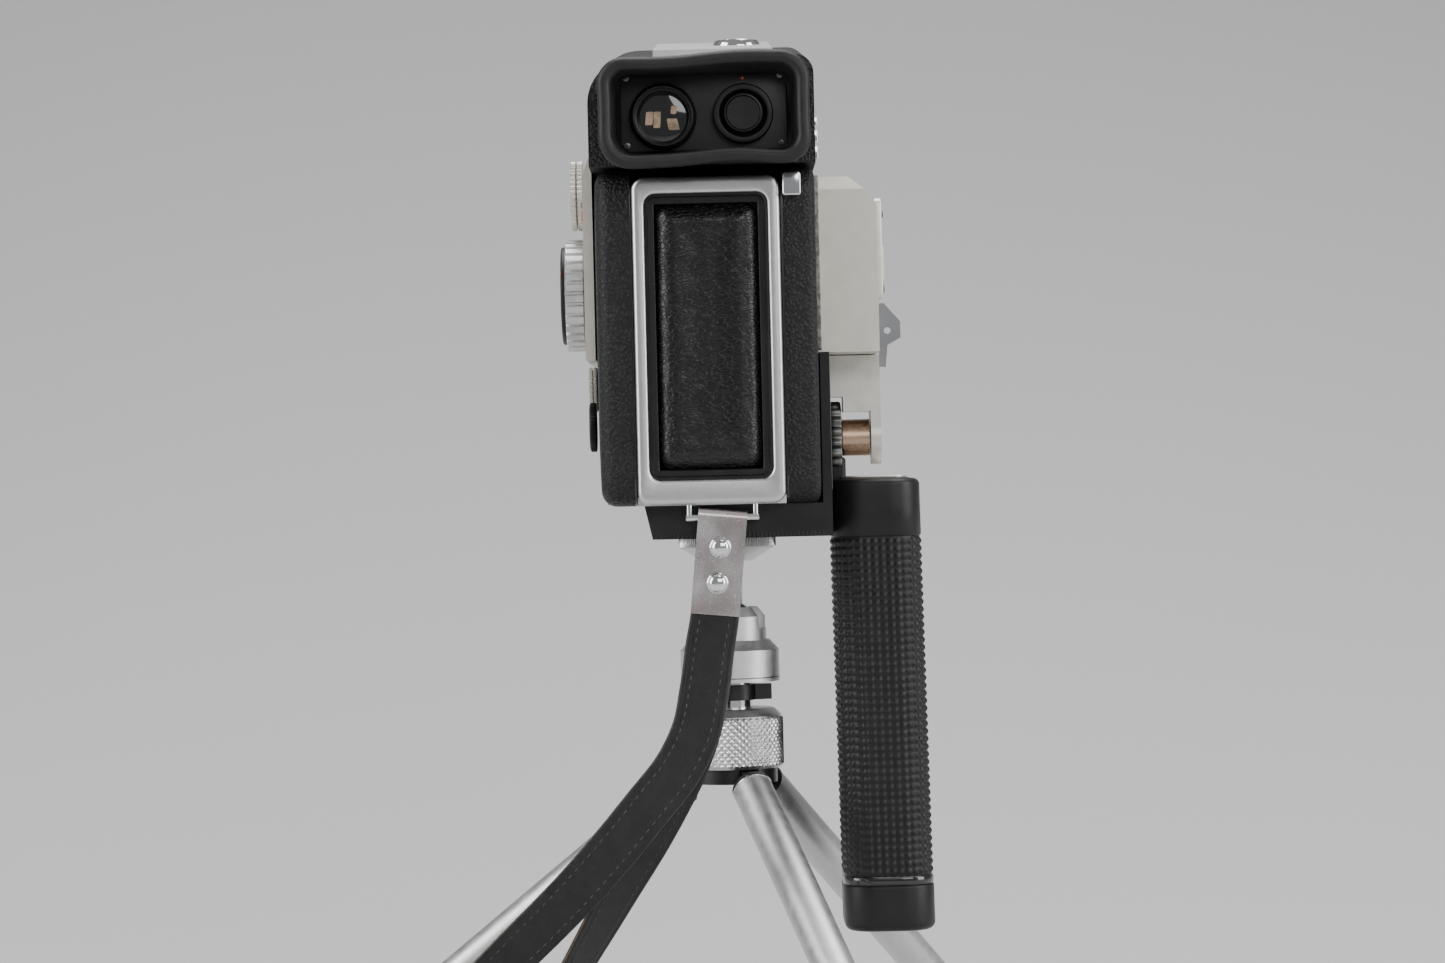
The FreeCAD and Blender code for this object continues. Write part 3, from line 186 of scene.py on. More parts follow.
def effect_pebble():
    """Pebbled leather: rounded cells of mixed size with creases between them; the tone is painted shade, darker in
    the creases.
    """
    group, source, target = new_effect("pebbled leather", POSITION_AND_SCALE,
                                       ["Height", "Tone"])
    place = scaled(group, source)
    warp = add(group, "ShaderNodeTexNoise", {"Vector": place, "Scale": 0.7, "Detail": 2.0})
    bent = add(group, "ShaderNodeVectorMath", {0: warp.outputs["Color"], 1: (0.9, 0.9, 0.9),
                                               2: place}, operation="MULTIPLY_ADD").outputs[0]
    cells = add(group, "ShaderNodeTexVoronoi", {"Vector": bent, "Scale": 1.0,
                                                "Smoothness": 0.6, "Randomness": 1.0},
                feature="SMOOTH_F1")
    dome = add(group, "ShaderNodeMapRange", {"Value": cells.outputs["Distance"],
                                             "From Min": 0.15, "From Max": 0.75, "To Min": 1.0,
                                             "To Max": 0.0}, interpolation_type="SMOOTHSTEP")
    fine = add(group, "ShaderNodeTexNoise", {"Vector": place, "Scale": 4.0, "Detail": 3.0})
    height = add(group, "ShaderNodeMath", {0: fine.outputs["Fac"], 1: 0.25,
                                           2: dome.outputs["Result"]}, operation="MULTIPLY_ADD")
    group.links.new(height.outputs[0], target["Height"])
    group.links.new(dome.outputs["Result"], target["Tone"])
    return group


def effect_wrinkle():
    """Glossy thin leather: long creases over fine grain; the tone is painted shade, darker in the creases."""
    group, source, target = new_effect("wrinkled leather", POSITION_AND_SCALE,
                                       ["Height", "Tone"])
    even = scaled(group, source)
    place = add(group, "ShaderNodeVectorMath", {0: even, 1: CREASE_STRETCH},
                operation="MULTIPLY").outputs[0]
    warp = add(group, "ShaderNodeTexNoise", {"Vector": place, "Scale": 0.5, "Detail": 3.0})
    bent = add(group, "ShaderNodeVectorMath", {0: warp.outputs["Color"], 1: (1.6, 1.6, 1.6),
                                               2: place}, operation="MULTIPLY_ADD").outputs[0]
    creases = add(group, "ShaderNodeTexVoronoi", {"Vector": bent, "Scale": 1.0,
                                                  "Randomness": 1.0}, feature="DISTANCE_TO_EDGE")
    fold = add(group, "ShaderNodeMapRange", {"Value": creases.outputs["Distance"],
                                             "From Min": 0.0, "From Max": 0.16},
               interpolation_type="SMOOTHSTEP")
    grain = add(group, "ShaderNodeTexNoise", {"Vector": even, "Scale": 2.6,
                                              "Detail": 4.0, "Roughness": 0.6})
    height = add(group, "ShaderNodeMath", {0: grain.outputs["Fac"], 1: 0.8,
                                           2: fold.outputs["Result"]}, operation="MULTIPLY_ADD")
    group.links.new(height.outputs[0], target["Height"])
    group.links.new(fold.outputs["Result"], target["Tone"])
    return group


def effect_bloom():
    """Old rubber and worn plastic: cloudy grey bloom with fine specks."""
    group, source, target = new_effect("bloom and dust", POSITION_AND_SCALE,
                                       ["Height", "Tone"])
    place = scaled(group, source)
    cloud = add(group, "ShaderNodeTexNoise", {"Vector": place, "Scale": 0.12, "Detail": 5.0,
                                              "Roughness": 0.65})
    speck = add(group, "ShaderNodeTexNoise", {"Vector": place, "Scale": 2.2, "Detail": 3.0})
    spots = add(group, "ShaderNodeMapRange", {"Value": speck.outputs["Fac"], "From Min": 0.6,
                                              "From Max": 0.75, "To Min": 0.0, "To Max": 0.45})
    both = add(group, "ShaderNodeMath", {0: cloud.outputs["Fac"], 1: spots.outputs["Result"]},
               operation="ADD")
    group.links.new(speck.outputs["Fac"], target["Height"])
    group.links.new(both.outputs[0], target["Tone"])
    return group


EFFECTS = {"blast": effect_blast, "pebble": effect_pebble, "wrinkle": effect_wrinkle,
           "bloom": effect_bloom}
EFFECT_GROUPS = {}


def finish_material(name, effect, dark, light, rough, scale, bump, metallic=0.0, tone=(0.3, 0.7),
                    coat=0.0, coat_rough=0.1, sheen=0.0, specular=0.5):
    """A material whose colour, roughness and relief follow one shader effect.

    dark and light are the colours at the two ends of the effect's tone, rough the two
    roughnesses, scale the grains per metre and bump the relief in metres.
    """
    if name in bpy.data.materials:
        return bpy.data.materials[name]
    made = bpy.data.materials.new(name)
    made.use_nodes = True
    tree = made.node_tree
    shader = tree.nodes["Principled BSDF"]
    where = add(tree, "ShaderNodeTexCoord")
    if effect not in EFFECT_GROUPS:
        EFFECT_GROUPS[effect] = EFFECTS[effect]()
    grain = add(tree, "ShaderNodeGroup", node_tree=EFFECT_GROUPS[effect])
    tree.links.new(where.outputs["Object"], grain.inputs["Position"])
    grain.inputs["Scale"].default_value = scale
    mask = add(tree, "ShaderNodeMapRange", {"Value": grain.outputs["Tone"],
                                            "From Min": tone[0], "From Max": tone[1]})
    blend = add(tree, "ShaderNodeMix", {"Factor": mask.outputs["Result"]}, data_type="RGBA")
    blend.inputs["A"].default_value = (*dark, 1)
    blend.inputs["B"].default_value = (*light, 1)
    tree.links.new(blend.outputs["Result"], shader.inputs["Base Color"])
    gloss = add(tree, "ShaderNodeMapRange", {"Value": mask.outputs["Result"],
                                             "To Min": rough[0], "To Max": rough[1]})
    tree.links.new(gloss.outputs["Result"], shader.inputs["Roughness"])
    relief = add(tree, "ShaderNodeBump", {"Height": grain.outputs["Height"],
                                          "Strength": 1.0, "Distance": bump})
    tree.links.new(relief.outputs["Normal"], shader.inputs["Normal"])
    shader.inputs["Metallic"].default_value = metallic
    shader.inputs["Coat Weight"].default_value = coat
    shader.inputs["Coat Roughness"].default_value = coat_rough
    shader.inputs["Sheen Weight"].default_value = sheen
    shader.inputs["Specular IOR Level"].default_value = specular
    return made


def shade(colour, amount):
    """A colour made lighter or darker."""
    return tuple(min(1.0, part * amount) for part in colour)


def satin_silver():
    base = tuple(colours().silver)
    return finish_material("satin silver", "blast", shade(base, 0.97), shade(base, 1.04),
                           (0.33, 0.36), 14000, 0.0004 * MM, metallic=1.0)


def drawn_aluminium():
    base = tuple(colours().silver)
    return finish_material("drawn aluminium", "blast", shade(base, 0.97), shade(base, 1.08),
                           (0.38, 0.48), 11000, 0.008 * MM, metallic=1.0)


def knurled_aluminium():
    base = tuple(colours().silver)
    return finish_material("knurled aluminium", "blast", shade(base, 0.85), shade(base, 1.1),
                           (0.28, 0.4), 5000, 0.02 * MM, metallic=1.0)


def warm_silver():
    return finish_material("warm silver", "blast", (0.68, 0.66, 0.60), (0.76, 0.74, 0.68),
                           (0.32, 0.42), 8000, 0.008 * MM, metallic=0.55)


def polished_chrome():
    return finish_material("polished chrome", "blast", (0.72, 0.72, 0.73), (0.8, 0.8, 0.81),
                           (0.07, 0.13), 2500, 0.002 * MM, metallic=1.0)


def nickel_reflection_tint():
    # nickel metal whose pinkish and cool tints, in random clouds, are painted reflections
    return finish_material("nickel with painted reflection tint", "bloom", (0.70, 0.62, 0.60), (0.80, 0.77, 0.78),
                           (0.16, 0.3), 900, 0.002 * MM, metallic=1.0, tone=(0.35, 0.8))


def copper_bronze():
    return finish_material("copper bronze", "blast", (0.42, 0.28, 0.20), (0.58, 0.42, 0.31),
                           (0.22, 0.36), 5000, 0.01 * MM, metallic=1.0)


def dark_steel():
    return finish_material("dark steel", "blast", (0.10, 0.10, 0.10), (0.20, 0.20, 0.19),
                           (0.3, 0.45), 5000, 0.01 * MM, metallic=1.0)


def painted_panel():
    base = tuple(colours().painted)
    return finish_material("warm white paint", "blast", shade(base, 0.94), shade(base, 1.03),
                           (0.38, 0.5), 6000, 0.012 * MM, metallic=0.25)


def black_leather():
    base = tuple(colours().leather)
    # the dark end is painted shade in the creases between the pebbles
    return finish_material("pebbled black leather", "pebble", shade(base, 0.4),
                           shade(base, 0.9), (0.6, 0.4), 1250, 0.24 * MM, tone=(0.1, 0.9),
                           coat=0.06, coat_rough=0.35, specular=0.32)


def pad_leather():
    # the darker end is painted shade in the creases
    return finish_material("wrinkled glossy leather", "wrinkle", (0.002, 0.002, 0.002),
                           (0.004, 0.004, 0.0042), (0.32, 0.24), 760, 0.075 * MM,
                           tone=(0.0, 1.0), coat=0.15, coat_rough=0.2, specular=0.4)


def strap_leather():
    return finish_material("smooth black leather", "bloom", (0.005, 0.005, 0.005),
                           (0.012, 0.0115, 0.011), (0.3, 0.46), 2000, 0.09 * MM,
                           tone=(0.35, 0.8), specular=0.4)


def raw_leather_edge():
    return finish_material("raw leather edge", "bloom", (0.05, 0.038, 0.026),
                           (0.20, 0.155, 0.115), (0.7, 0.85), 2600, 0.08 * MM, tone=(0.4, 0.75))


def thread():
    return finish_material("waxed thread", "bloom", (0.02, 0.02, 0.02), (0.07, 0.068, 0.064),
                           (0.5, 0.7), 5000, 0.01 * MM)


def soft_rubber():
    return finish_material("soft black rubber", "bloom", (0.009, 0.009, 0.0095),
                           (0.018, 0.018, 0.018), (0.44, 0.6), 2200, 0.02 * MM,
                           tone=(0.38, 0.95), sheen=0.01, specular=0.34)


def black_enamel():
    return finish_material("black enamel", "blast", (0.004, 0.004, 0.004),
                           (0.009, 0.009, 0.009), (0.28, 0.4), 5000, 0.01 * MM,
                           coat=0.1, coat_rough=0.2, specular=0.4)


def satin_black():
    return finish_material("satin black plastic", "blast", (0.005, 0.005, 0.0055),
                           (0.010, 0.010, 0.0105), (0.36, 0.48), 3500, 0.02 * MM,
                           specular=0.35)


def grip_black():
    return finish_material("moulded black grip", "bloom", (0.006, 0.006, 0.006),
                           (0.018, 0.018, 0.018), (0.42, 0.55), 2400, 0.02 * MM,
                           tone=(0.4, 1.0), specular=0.35)


def gloss_black():
    return finish_material("gloss black band", "blast", (0.006, 0.006, 0.006),
                           (0.012, 0.012, 0.012), (0.1, 0.18), 3500, 0.003 * MM, coat=0.6,
                           coat_rough=0.06)


def index_paint():
    base = tuple(colours().mark)
    return finish_material("index paint", "blast", shade(base, 0.85), shade(base, 1.1),
                           (0.35, 0.45), 6000, 0.01 * MM)


def orange_paint():
    return finish_material("orange paint", "blast", (0.75, 0.16, 0.03), (0.85, 0.22, 0.05),
                           (0.35, 0.45), 6000, 0.01 * MM)


def coated_glass():
    """Clear coated glass over a dark inside."""
    name = "coated glass"
    if name in bpy.data.materials:
        return bpy.data.materials[name]
    made = finish_material(name, "blast", (0.85, 0.88, 0.84), (0.9, 0.93, 0.9),
                           (0.02, 0.03), 400, 0.0002 * MM)
    shader = made.node_tree.nodes["Principled BSDF"]
    shader.inputs["Transmission Weight"].default_value = 1.0
    shader.inputs["IOR"].default_value = 1.5
    return made


def amber_painted_reflection():
    """Painted deep reflection in the eyepiece and lens: dark glass colour with a painted warm sheen."""
    return finish_material("amber painted reflection", "bloom", (0.22, 0.15, 0.085),
                           (0.55, 0.41, 0.27), (0.2, 0.3), 900, 0.0005 * MM, metallic=0.2,
                           tone=(0.4, 0.62), coat=0.6, coat_rough=0.05)


# painted shade: glossy near-black for the screw recesses, the coin slot and the deep eyepiece
def painted_shade_glass():
    return finish_material("glossy painted shade", "blast", (0.003, 0.003, 0.004),
                           (0.006, 0.006, 0.007), (0.04, 0.08), 900, 0.0002 * MM, coat=1.0,
                           coat_rough=0.03)


SLOT_FINISH = {
    "satin_aluminium": drawn_aluminium, "polished_chrome": polished_chrome,
    "black_metal": black_enamel, "grained_leather": black_leather,
    "glossy_leather": pad_leather, "strap_leather": strap_leather,
    "black_rubber": soft_rubber, "warm_white_paint": painted_panel,
    "warm_silver": warm_silver, "clear_glass": coated_glass,
    "black_plastic": satin_black, "copper_bronze": copper_bronze,
    "dark_steel": dark_steel,
}


# ------------------------------------------------------------------ mesh work
def at(x, y, z):
    """A point given in millimetres from the tripod's axis (x, y) and the floor (z)."""
    return Vector((TRIPOD.x + x * MM, TRIPOD.y + y * MM, z * MM))


def piece(name, points, faces, body, finish, smooth=35, stands_for=()):
    """A mesh piece in place: it rides on a body and takes its finish."""
    mesh = bpy.data.meshes.new(name)
    mesh.from_pydata([tuple(p) for p in points], [], faces)
    work = bmesh.new()
    work.from_mesh(mesh)
    bmesh.ops.remove_doubles(work, verts=work.verts, dist=1e-7)
    bmesh.ops.recalc_face_normals(work, faces=work.faces)
    work.to_mesh(mesh)
    work.free()
    made = bpy.data.objects.new(name, mesh)
    bpy.context.scene.collection.objects.link(made)
    mesh.materials.append(finish)
    if smooth:
        mesh.shade_smooth()
        mesh.set_sharp_from_angle(angle=math.radians(smooth))
    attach(made, body)
    if stands_for:
        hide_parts(*stands_for)
    return made


def bridged(rings, caps=(True, True), closed=False):
    """Points and faces that join rings of equal length, with flat ends unless closed."""
    count = len(rings[0])
    points = [point for ring in rings for point in ring]
    faces = []
    last = len(rings) if closed else len(rings) - 1
    for row in range(last):
        here, there = row * count, (row + 1) % len(rings) * count
        for k in range(count):
            nxt = (k + 1) % count
            faces.append((here + k, here + nxt, there + nxt, there + k))
    if not closed:
        if caps[0]:
            faces.append(tuple(range(count)))
        if caps[1]:
            faces.append(tuple((len(rings) - 1) * count + k for k in range(count)))
    return points, faces


def side_axes(along):
    """Two directions square to an axis."""
    along = along.normalized()
    first = along.cross(Z if abs(along.z) < 0.9 else X).normalized()
    return first, along.cross(first)


def turned(name, centre, along, profile, body, finish, steps=96, relief=None,
           stands_for=(), smooth=35, caps=(True, True)):
    """A lathed piece. profile holds (radius, distance along the axis) in millimetres.

    relief(angle, row) gives an extra radius in millimetres.
    """
    across, up = side_axes(along)
    axis = along.normalized()
    rings = []
    for row, (radius, distance) in enumerate(profile):
        ring = []
        for k in range(steps):
            angle = math.tau * k / steps
            r = radius + (relief(angle, row) if relief else 0.0)
            ring.append(centre + (across * math.cos(angle) + up * math.sin(angle)) * r * MM
                        + axis * distance * MM)
        rings.append(ring)
    points, faces = bridged(rings, caps)
    return piece(name, points, faces, body, finish, smooth, stands_for)


def rounded_loop(low, high, radius, steps=8):
    """A rounded rectangle as 2-D points, with a radius or one for each corner.

    Corners run anticlockwise from the lower left one.
    """
    radii = radius if hasattr(radius, "__len__") else (radius,) * 4
    corners = [(low[0], low[1], 180), (high[0], low[1], 270), (high[0], high[1], 0),
               (low[0], high[1], 90)]
    inward = [(1, 1), (-1, 1), (-1, -1), (1, -1)]
    points = []
    for (cx, cy, start), (ix, iy), r in zip(corners, inward, radii):
        for k in range(steps + 1):
            angle = math.radians(start + 90 * k / steps)
            points.append((cx + ix * r + r * math.cos(angle),
                           cy + iy * r + r * math.sin(angle)))
    return points


def smoothed(start, end, value):
    """0 below start, 1 above end, eased in between."""
    part = min(1.0, max(0.0, (value - start) / (end - start)))
    return part * part * (3 - 2 * part)


def eased_edges(made, width=None, segments=2, angle=40):
    """A small bevel on the sharp edges of a piece or a CAD node."""
    bevel = made.modifiers.new("eased edges", "BEVEL")
    bevel.width = sizes().edge_round if width is None else width * MM
    bevel.segments = segments
    bevel.limit_method = "ANGLE"
    bevel.angle_limit = math.radians(angle)
    bevel.harden_normals = False
    bevel.use_clamp_overlap = True
    return made


def finished(name, material):
    """Give a CAD node its finish; its mesh stays as it is."""
    node = NODES[name]
    node.data.materials.clear()
    node.data.materials.append(material)
    return node


# ------------------------------------------------------------------ stage
class FILMCAM_OT_stage(bpy.types.Operator):
    """Make the pale floor and backdrop, the soft lights and the camera"""
    bl_idname = "filmcam.stage"
    bl_label = "Studio"

    def execute(self, context):
        middle_x, middle_y = TRIPOD.x, TRIPOD.y
        profile = [(-2.6, 0.0), (0.35, 0.0)]
        for k in range(1, 17):
            turn = math.radians(90 * k / 16)
            profile.append((0.35 + 2.2 * math.sin(turn), 2.2 - 2.2 * math.cos(turn)))
        profile.append((2.55, 5.0))
        points, faces = [], []
        for y, z in profile:
            points += [(-4.0, middle_y + y, z), (4.0, middle_y + y, z)]
        for k in range(len(profile) - 1):
            faces.append((2 * k, 2 * k + 1, 2 * k + 3, 2 * k + 2))
        mesh = bpy.data.meshes.new("studio_sweep")
        mesh.from_pydata(points, [], faces)
        sweep = bpy.data.objects.new("studio_sweep", mesh)
        context.scene.collection.objects.link(sweep)
        base = tuple(colours().backdrop)
        mesh.materials.append(finish_material(
            "studio paper", "blast", shade(base, 1.0), shade(base, 1.0183), (0.85, 0.9), 40,
            0.02 * MM))
        mesh.shade_smooth()

        world = context.scene.world or bpy.data.worlds.new("studio air")
        context.scene.world = world
        world.use_nodes = True
        air = world.node_tree.nodes.get("Background") or world.node_tree.nodes.new(
            "ShaderNodeBackground")
        air.inputs["Color"].default_value = (0.86, 0.87, 0.89, 1)
        air.inputs["Strength"].default_value = 0.35

        target = Vector((middle_x, middle_y, 0.21))

        def lamp(name, place, size, power, tint=(1, 1, 1)):
            data = bpy.data.lights.new(name, "AREA")
            data.shape = "RECTANGLE"
            data.size, data.size_y = size
            data.energy = power
            data.color = tint
            made = bpy.data.objects.new(name, data)
            made.location = target + Vector(place)
            made.rotation_euler = (target - made.location).to_track_quat("-Z", "Y").to_euler()
            context.scene.collection.objects.link(made)

        lamp("top_softbox", (0.1, 0.25, 1.5), (1.6, 1.4), 34)
        lamp("left_softbox", (-1.35, -0.55, 0.55), (0.9, 1.3), 20)
        lamp("right_softbox", (1.35, -0.5, 0.45), (0.7, 1.2), 15)
        lamp("front_fill", (0.7, -1.8, 0.75), (1.2, 0.8), 12)

        data = bpy.data.cameras.new("studio_camera")
        data.lens = 100
        data.sensor_width = 36
        data.clip_start, data.clip_end = 0.05, 20
        made = bpy.data.objects.new("studio_camera", data)
        context.scene.collection.objects.link(made)
        roll = math.radians(1.35)
        made.location = at(-0.9, -1115, 192.9)
        up = Vector((math.sin(roll), 0, math.cos(roll)))
        right = Y.cross(up)
        made.matrix_world = Matrix.Translation(made.location) @ Matrix(
            (right, up, -Y)).transposed().to_4x4()
        context.scene.camera = made
        return {"FINISHED"}


# ------------------------------------------------------------------ plain nodes
class FILMCAM_OT_frame_finish(bpy.types.Operator):
    """Give every CAD node its finish"""
    bl_idname = "filmcam.frame_finish"
    bl_label = "Finish of Frame Nodes"

    def execute(self, context):
        slots = {item["node"]: item["material_slot"] for item in frame["record"]["subparts"]}
        for name in NODES:
            finished(name, SLOT_FINISH[slots[name]]())
        return {"FINISHED"}


# ------------------------------------------------------------------ body of the camera
def slab(name, outline, plane, start, end, rounds, body, finish, stands_for=(),
         steps=5, puff=0.0, smooth=50):
    """A plate whose outline(inset) is drawn square to an axis, with its end edges rounded.

    plane turns (u, v, along) in millimetres into a point; rounds are the radii at the start
    and the end; puff lets the end face bulge by that many millimetres.
    """
    rings = []
    way = 1 if end > start else -1

    def ring(inset, along):
        rings.append([plane(u, v, along) for u, v in outline(inset)])
    for k in range(steps + 1):
        turn = math.radians(90 * k / steps)
        r = rounds[0]
        ring(r * (1 - math.sin(turn)), start + way * r * (1 - math.cos(turn)))
    for k in range(1, 4):
        ring(0, start + way * (rounds[0] + (abs(end - start) - rounds[0] - rounds[1])
                               * k / 4))
    for k in range(steps + 1):
        turn = math.radians(90 * k / steps)
        r = rounds[1]
        ring(r * (1 - math.cos(turn)), end - way * (puff + r * (1 - math.sin(turn))))
    if puff:
        base = outline(rounds[1])
        cu = sum(u for u, _ in base) / len(base)
        cv = sum(v for _, v in base) / len(base)
        for k in range(1, 9):
            part = 1 - k / 9
            rise = puff * (1 - part ** 2.2)
            rings.append([plane(cu + (u - cu) * part, cv + (v - cv) * part,
                                end - way * (puff - rise)) for u, v in base])
    points, faces = bridged(rings)
    return piece(name, points, faces, body, finish, smooth, stands_for)


def node_box(name):
    """A CAD node's box in millimetres from the tripod's axis and the floor."""
    low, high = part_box(name)
    return ([(low.x - TRIPOD.x) / MM, (low.y - TRIPOD.y) / MM, low.z / MM],
            [(high.x - TRIPOD.x) / MM, (high.y - TRIPOD.y) / MM, high.z / MM])


def side_plane(u, v, along):
    """Outline drawn in Y (u) and Z (v), built along X."""
    return at(along, u, v)


def back_plane(u, v, along):
    """Outline drawn in X (u) and Z (v), built along Y."""
    return at(u, along, v)


def top_plane(u, v, along):
    """Outline drawn in X (u) and Y (v), built along Z."""
    return at(u, v, along)


def box_outline(low, high, radius):
    """outline(inset) of a rounded rectangle with one radius or four."""
    radii = radius if hasattr(radius, "__len__") else (radius,) * 4

    def outline(inset):
        return rounded_loop((low[0] + inset, low[1] + inset),
                            (high[0] - inset, high[1] - inset),
                            [max(0.05, r - inset) for r in radii])
    return outline


class FILMCAM_OT_covers(bpy.types.Operator):
    """Make the two leather side covers with rolled edges and a soft bulge"""
    bl_idname = "filmcam.covers"
    bl_label = "Leather Covers"

    def execute(self, context):
        low, high = node_box("left_cover")
        slab("left_cover_leather", box_outline((low[1], low[2]), (high[1], high[2]), 7.5),
             side_plane, high[0], low[0], (0.6, 4.2), "camera", black_leather(),
             ["left_cover"], steps=8, puff=1.2)
        low, high = node_box("right_cover")
        slab("right_cover_leather", box_outline((low[1], low[2]), (high[1], high[2]), 7.5),
             side_plane, low[0], high[0], (0.6, 2.6), "camera", black_leather(),
             ["right_cover"], steps=8, puff=0.4)
        # welt seam where the leather turns in beside the metal frame
        for name, along in (("left_cover", -23.9), ("right_cover", 16.5)):
            low, high = node_box(name)
            loop = box_outline((low[1], low[2]), (high[1], high[2]), 7.5)
            rings = []
            for inset, shift in ((0.1, -0.35), (-0.05, -0.1), (-0.05, 0.1), (0.1, 0.35)):
                rings.append([side_plane(u, v, along + shift) for u, v in loop(inset)])
            points, faces = bridged(rings, closed=True)
            piece(f"{name}_binding", points, faces, "camera", gloss_black())
        return {"FINISHED"}


class FILMCAM_OT_rear_door(bpy.types.Operator):
    """Make the rear door: silver frame, stepped moulding, padded leather and latch"""
    bl_idname = "filmcam.rear_door"
    bl_label = "Rear Door"

    def execute(self, context):
        low, high = node_box("rear_door_frame")
        pad_low, pad_high = node_box("rear_door_pad")
        rear, front = low[1], high[1]
        outer = box_outline((low[0], low[2]), (high[0], high[2]), 3.4)
        window = box_outline((pad_low[0], pad_low[2]), (pad_high[0], pad_high[2]), 3.0)
        rings = []
        for inset, along in ((0.0, front), (0.0, rear + 1.3), (0.12, rear + 0.75),
                             (0.45, rear + 0.28), (1.0, rear + 0.02), (1.7, rear)):
            rings.append([back_plane(u, v, along) for u, v in outer(inset)])
        for inset, along in ((-1.0, rear), (-0.55, rear + 0.1), (-0.2, rear + 0.4),
                             (0.0, rear + 0.9), (0.0, front)):
            rings.append([back_plane(u, v, along) for u, v in window(inset)])
        points, faces = bridged(rings, closed=True)
        piece("rear_frame_metal", points, faces, "rear_door", satin_silver(),
              stands_for=["rear_door_frame"])
        # black stepped moulding inside the window
        rings = []
        for inset, along in ((0.05, front - 0.4), (0.05, rear + 0.75), (0.55, rear + 0.7),
                             (0.75, rear + 1.0), (0.8, rear + 1.9), (1.0, rear + 2.15),
                             (2.3, rear + 2.2), (2.5, rear + 2.35), (2.6, rear + 2.8),
                             (2.6, front - 0.4)):
            rings.append([back_plane(u, v, along) for u, v in window(inset)])
        points, faces = bridged(rings, closed=True)
        piece("rear_window_moulding", points, faces, "rear_door", satin_black(),
              smooth=30)
        # padded leather, crowned, with gathered edges
        cu = (pad_low[0] + pad_high[0]) / 2
        cv = (pad_low[2] + pad_high[2]) / 2
        half_u = (pad_high[0] - pad_low[0]) / 2 - 2.45
        half_v = (pad_high[2] - pad_low[2]) / 2 - 2.45
        wide, tall = 60, 150
        points = []
        base = rear + 3.5
        for j in range(tall + 1):
            for i in range(wide + 1):
                s, t = 2 * i / wide - 1, 2 * j / tall - 1
                # square grid pulled into the rounded window
                corner = 4.2
                u, v = s * half_u, t * half_v
                past_u = abs(u) - (half_u - corner)
                past_v = abs(v) - (half_v - corner)
                if past_u > 0 and past_v > 0:
                    reach = max(past_u, past_v)
                    length = math.hypot(past_u, past_v)
                    u = math.copysign(half_u - corner + past_u * reach / length, u)
                    v = math.copysign(half_v - corner + past_v * reach / length, v)
                edge = min(half_u - abs(s * half_u), half_v - abs(t * half_v))
                roll = min(1.0, edge / 5.6)
                rise = 2.75 * (1 - (1 - roll) ** 2.1)
                flat = 0.45 * smoothed(5.0, 12.0, edge)
                place = Vector((u * 0.16, v * 0.16, 3.7))
                folds = 0.10 * noise.noise(place * 1.3) * min(1, edge / 3)
                pleats = 0.09 * noise.noise(Vector((u * 0.9, v * 0.28, 9.1))) \
                    * (1 - smoothed(1.5, 7.0, edge))
                points.append(back_plane(cu + u, cv + v,
                                         base - rise + flat + folds + pleats))
        faces = []
        for j in range(tall):
            for i in range(wide):
                k = j * (wide + 1) + i
                faces.append((k, k + 1, k + wide + 2, k + wide + 1))
        rim = [i for i in range(wide + 1)]
        rim += [j * (wide + 1) + wide for j in range(1, tall + 1)]
        rim += [tall * (wide + 1) + i for i in range(wide - 1, -1, -1)]
        rim += [j * (wide + 1) for j in range(tall - 1, 0, -1)]
        start = len(points)
        for k in rim:
            points.append(points[k] + Y * 1.2 * MM)
        for n in range(len(rim)):
            m = (n + 1) % len(rim)
            faces.append((rim[n], rim[m], start + m, start + n))
        faces.append(tuple(range(start, start + len(rim))))
        pad = piece("rear_pad_leather", points, faces, "rear_door", pad_leather(),
                    smooth=60, stands_for=["rear_door_pad"])

        low, high = node_box("door_latch")
        slab("door_latch_slide", box_outline((low[0], low[2]), (high[0], high[2]), 0.8),
             back_plane, high[1], low[1], (0.1, 0.5), "door_latch", polished_chrome(),
             ["door_latch"])
        return {"FINISHED"}


def screw(name, place, along, radius, body, finish, turn=0.6):
    """A small pan-head screw with a crossed recess; along points out of the surface."""
    head = turned(name, place, along, [
        (radius, -0.3), (radius, 0.12), (radius * 0.9, 0.26), (radius * 0.6, 0.36),
        (radius * 0.2, 0.4), (0.01, 0.4)], body, finish, steps=28)
    # the crossed recess is drawn as two dark blocks: painted shade in the recess
    across, up = side_axes(along)
    for number, angle in enumerate((turn, turn + math.pi / 2)):
        way = across * math.cos(angle) + up * math.sin(angle)
        side = along.cross(way)
        corners = []
        for lift in (0.2, 0.425):
            for s, t in ((-1, -1), (1, -1), (1, 1), (-1, 1)):
                reach = radius * (0.62 if lift > 0.3 else 0.5)
                corners.append(place + way * s * reach * MM + side * t * radius * 0.13 * MM
                               + along * lift * MM)
        points, faces = bridged([corners[:4], corners[4:]])
        piece(f"{name}_recess_{number + 1}", points, faces, body, painted_shade_glass(),
              smooth=0)
    return head


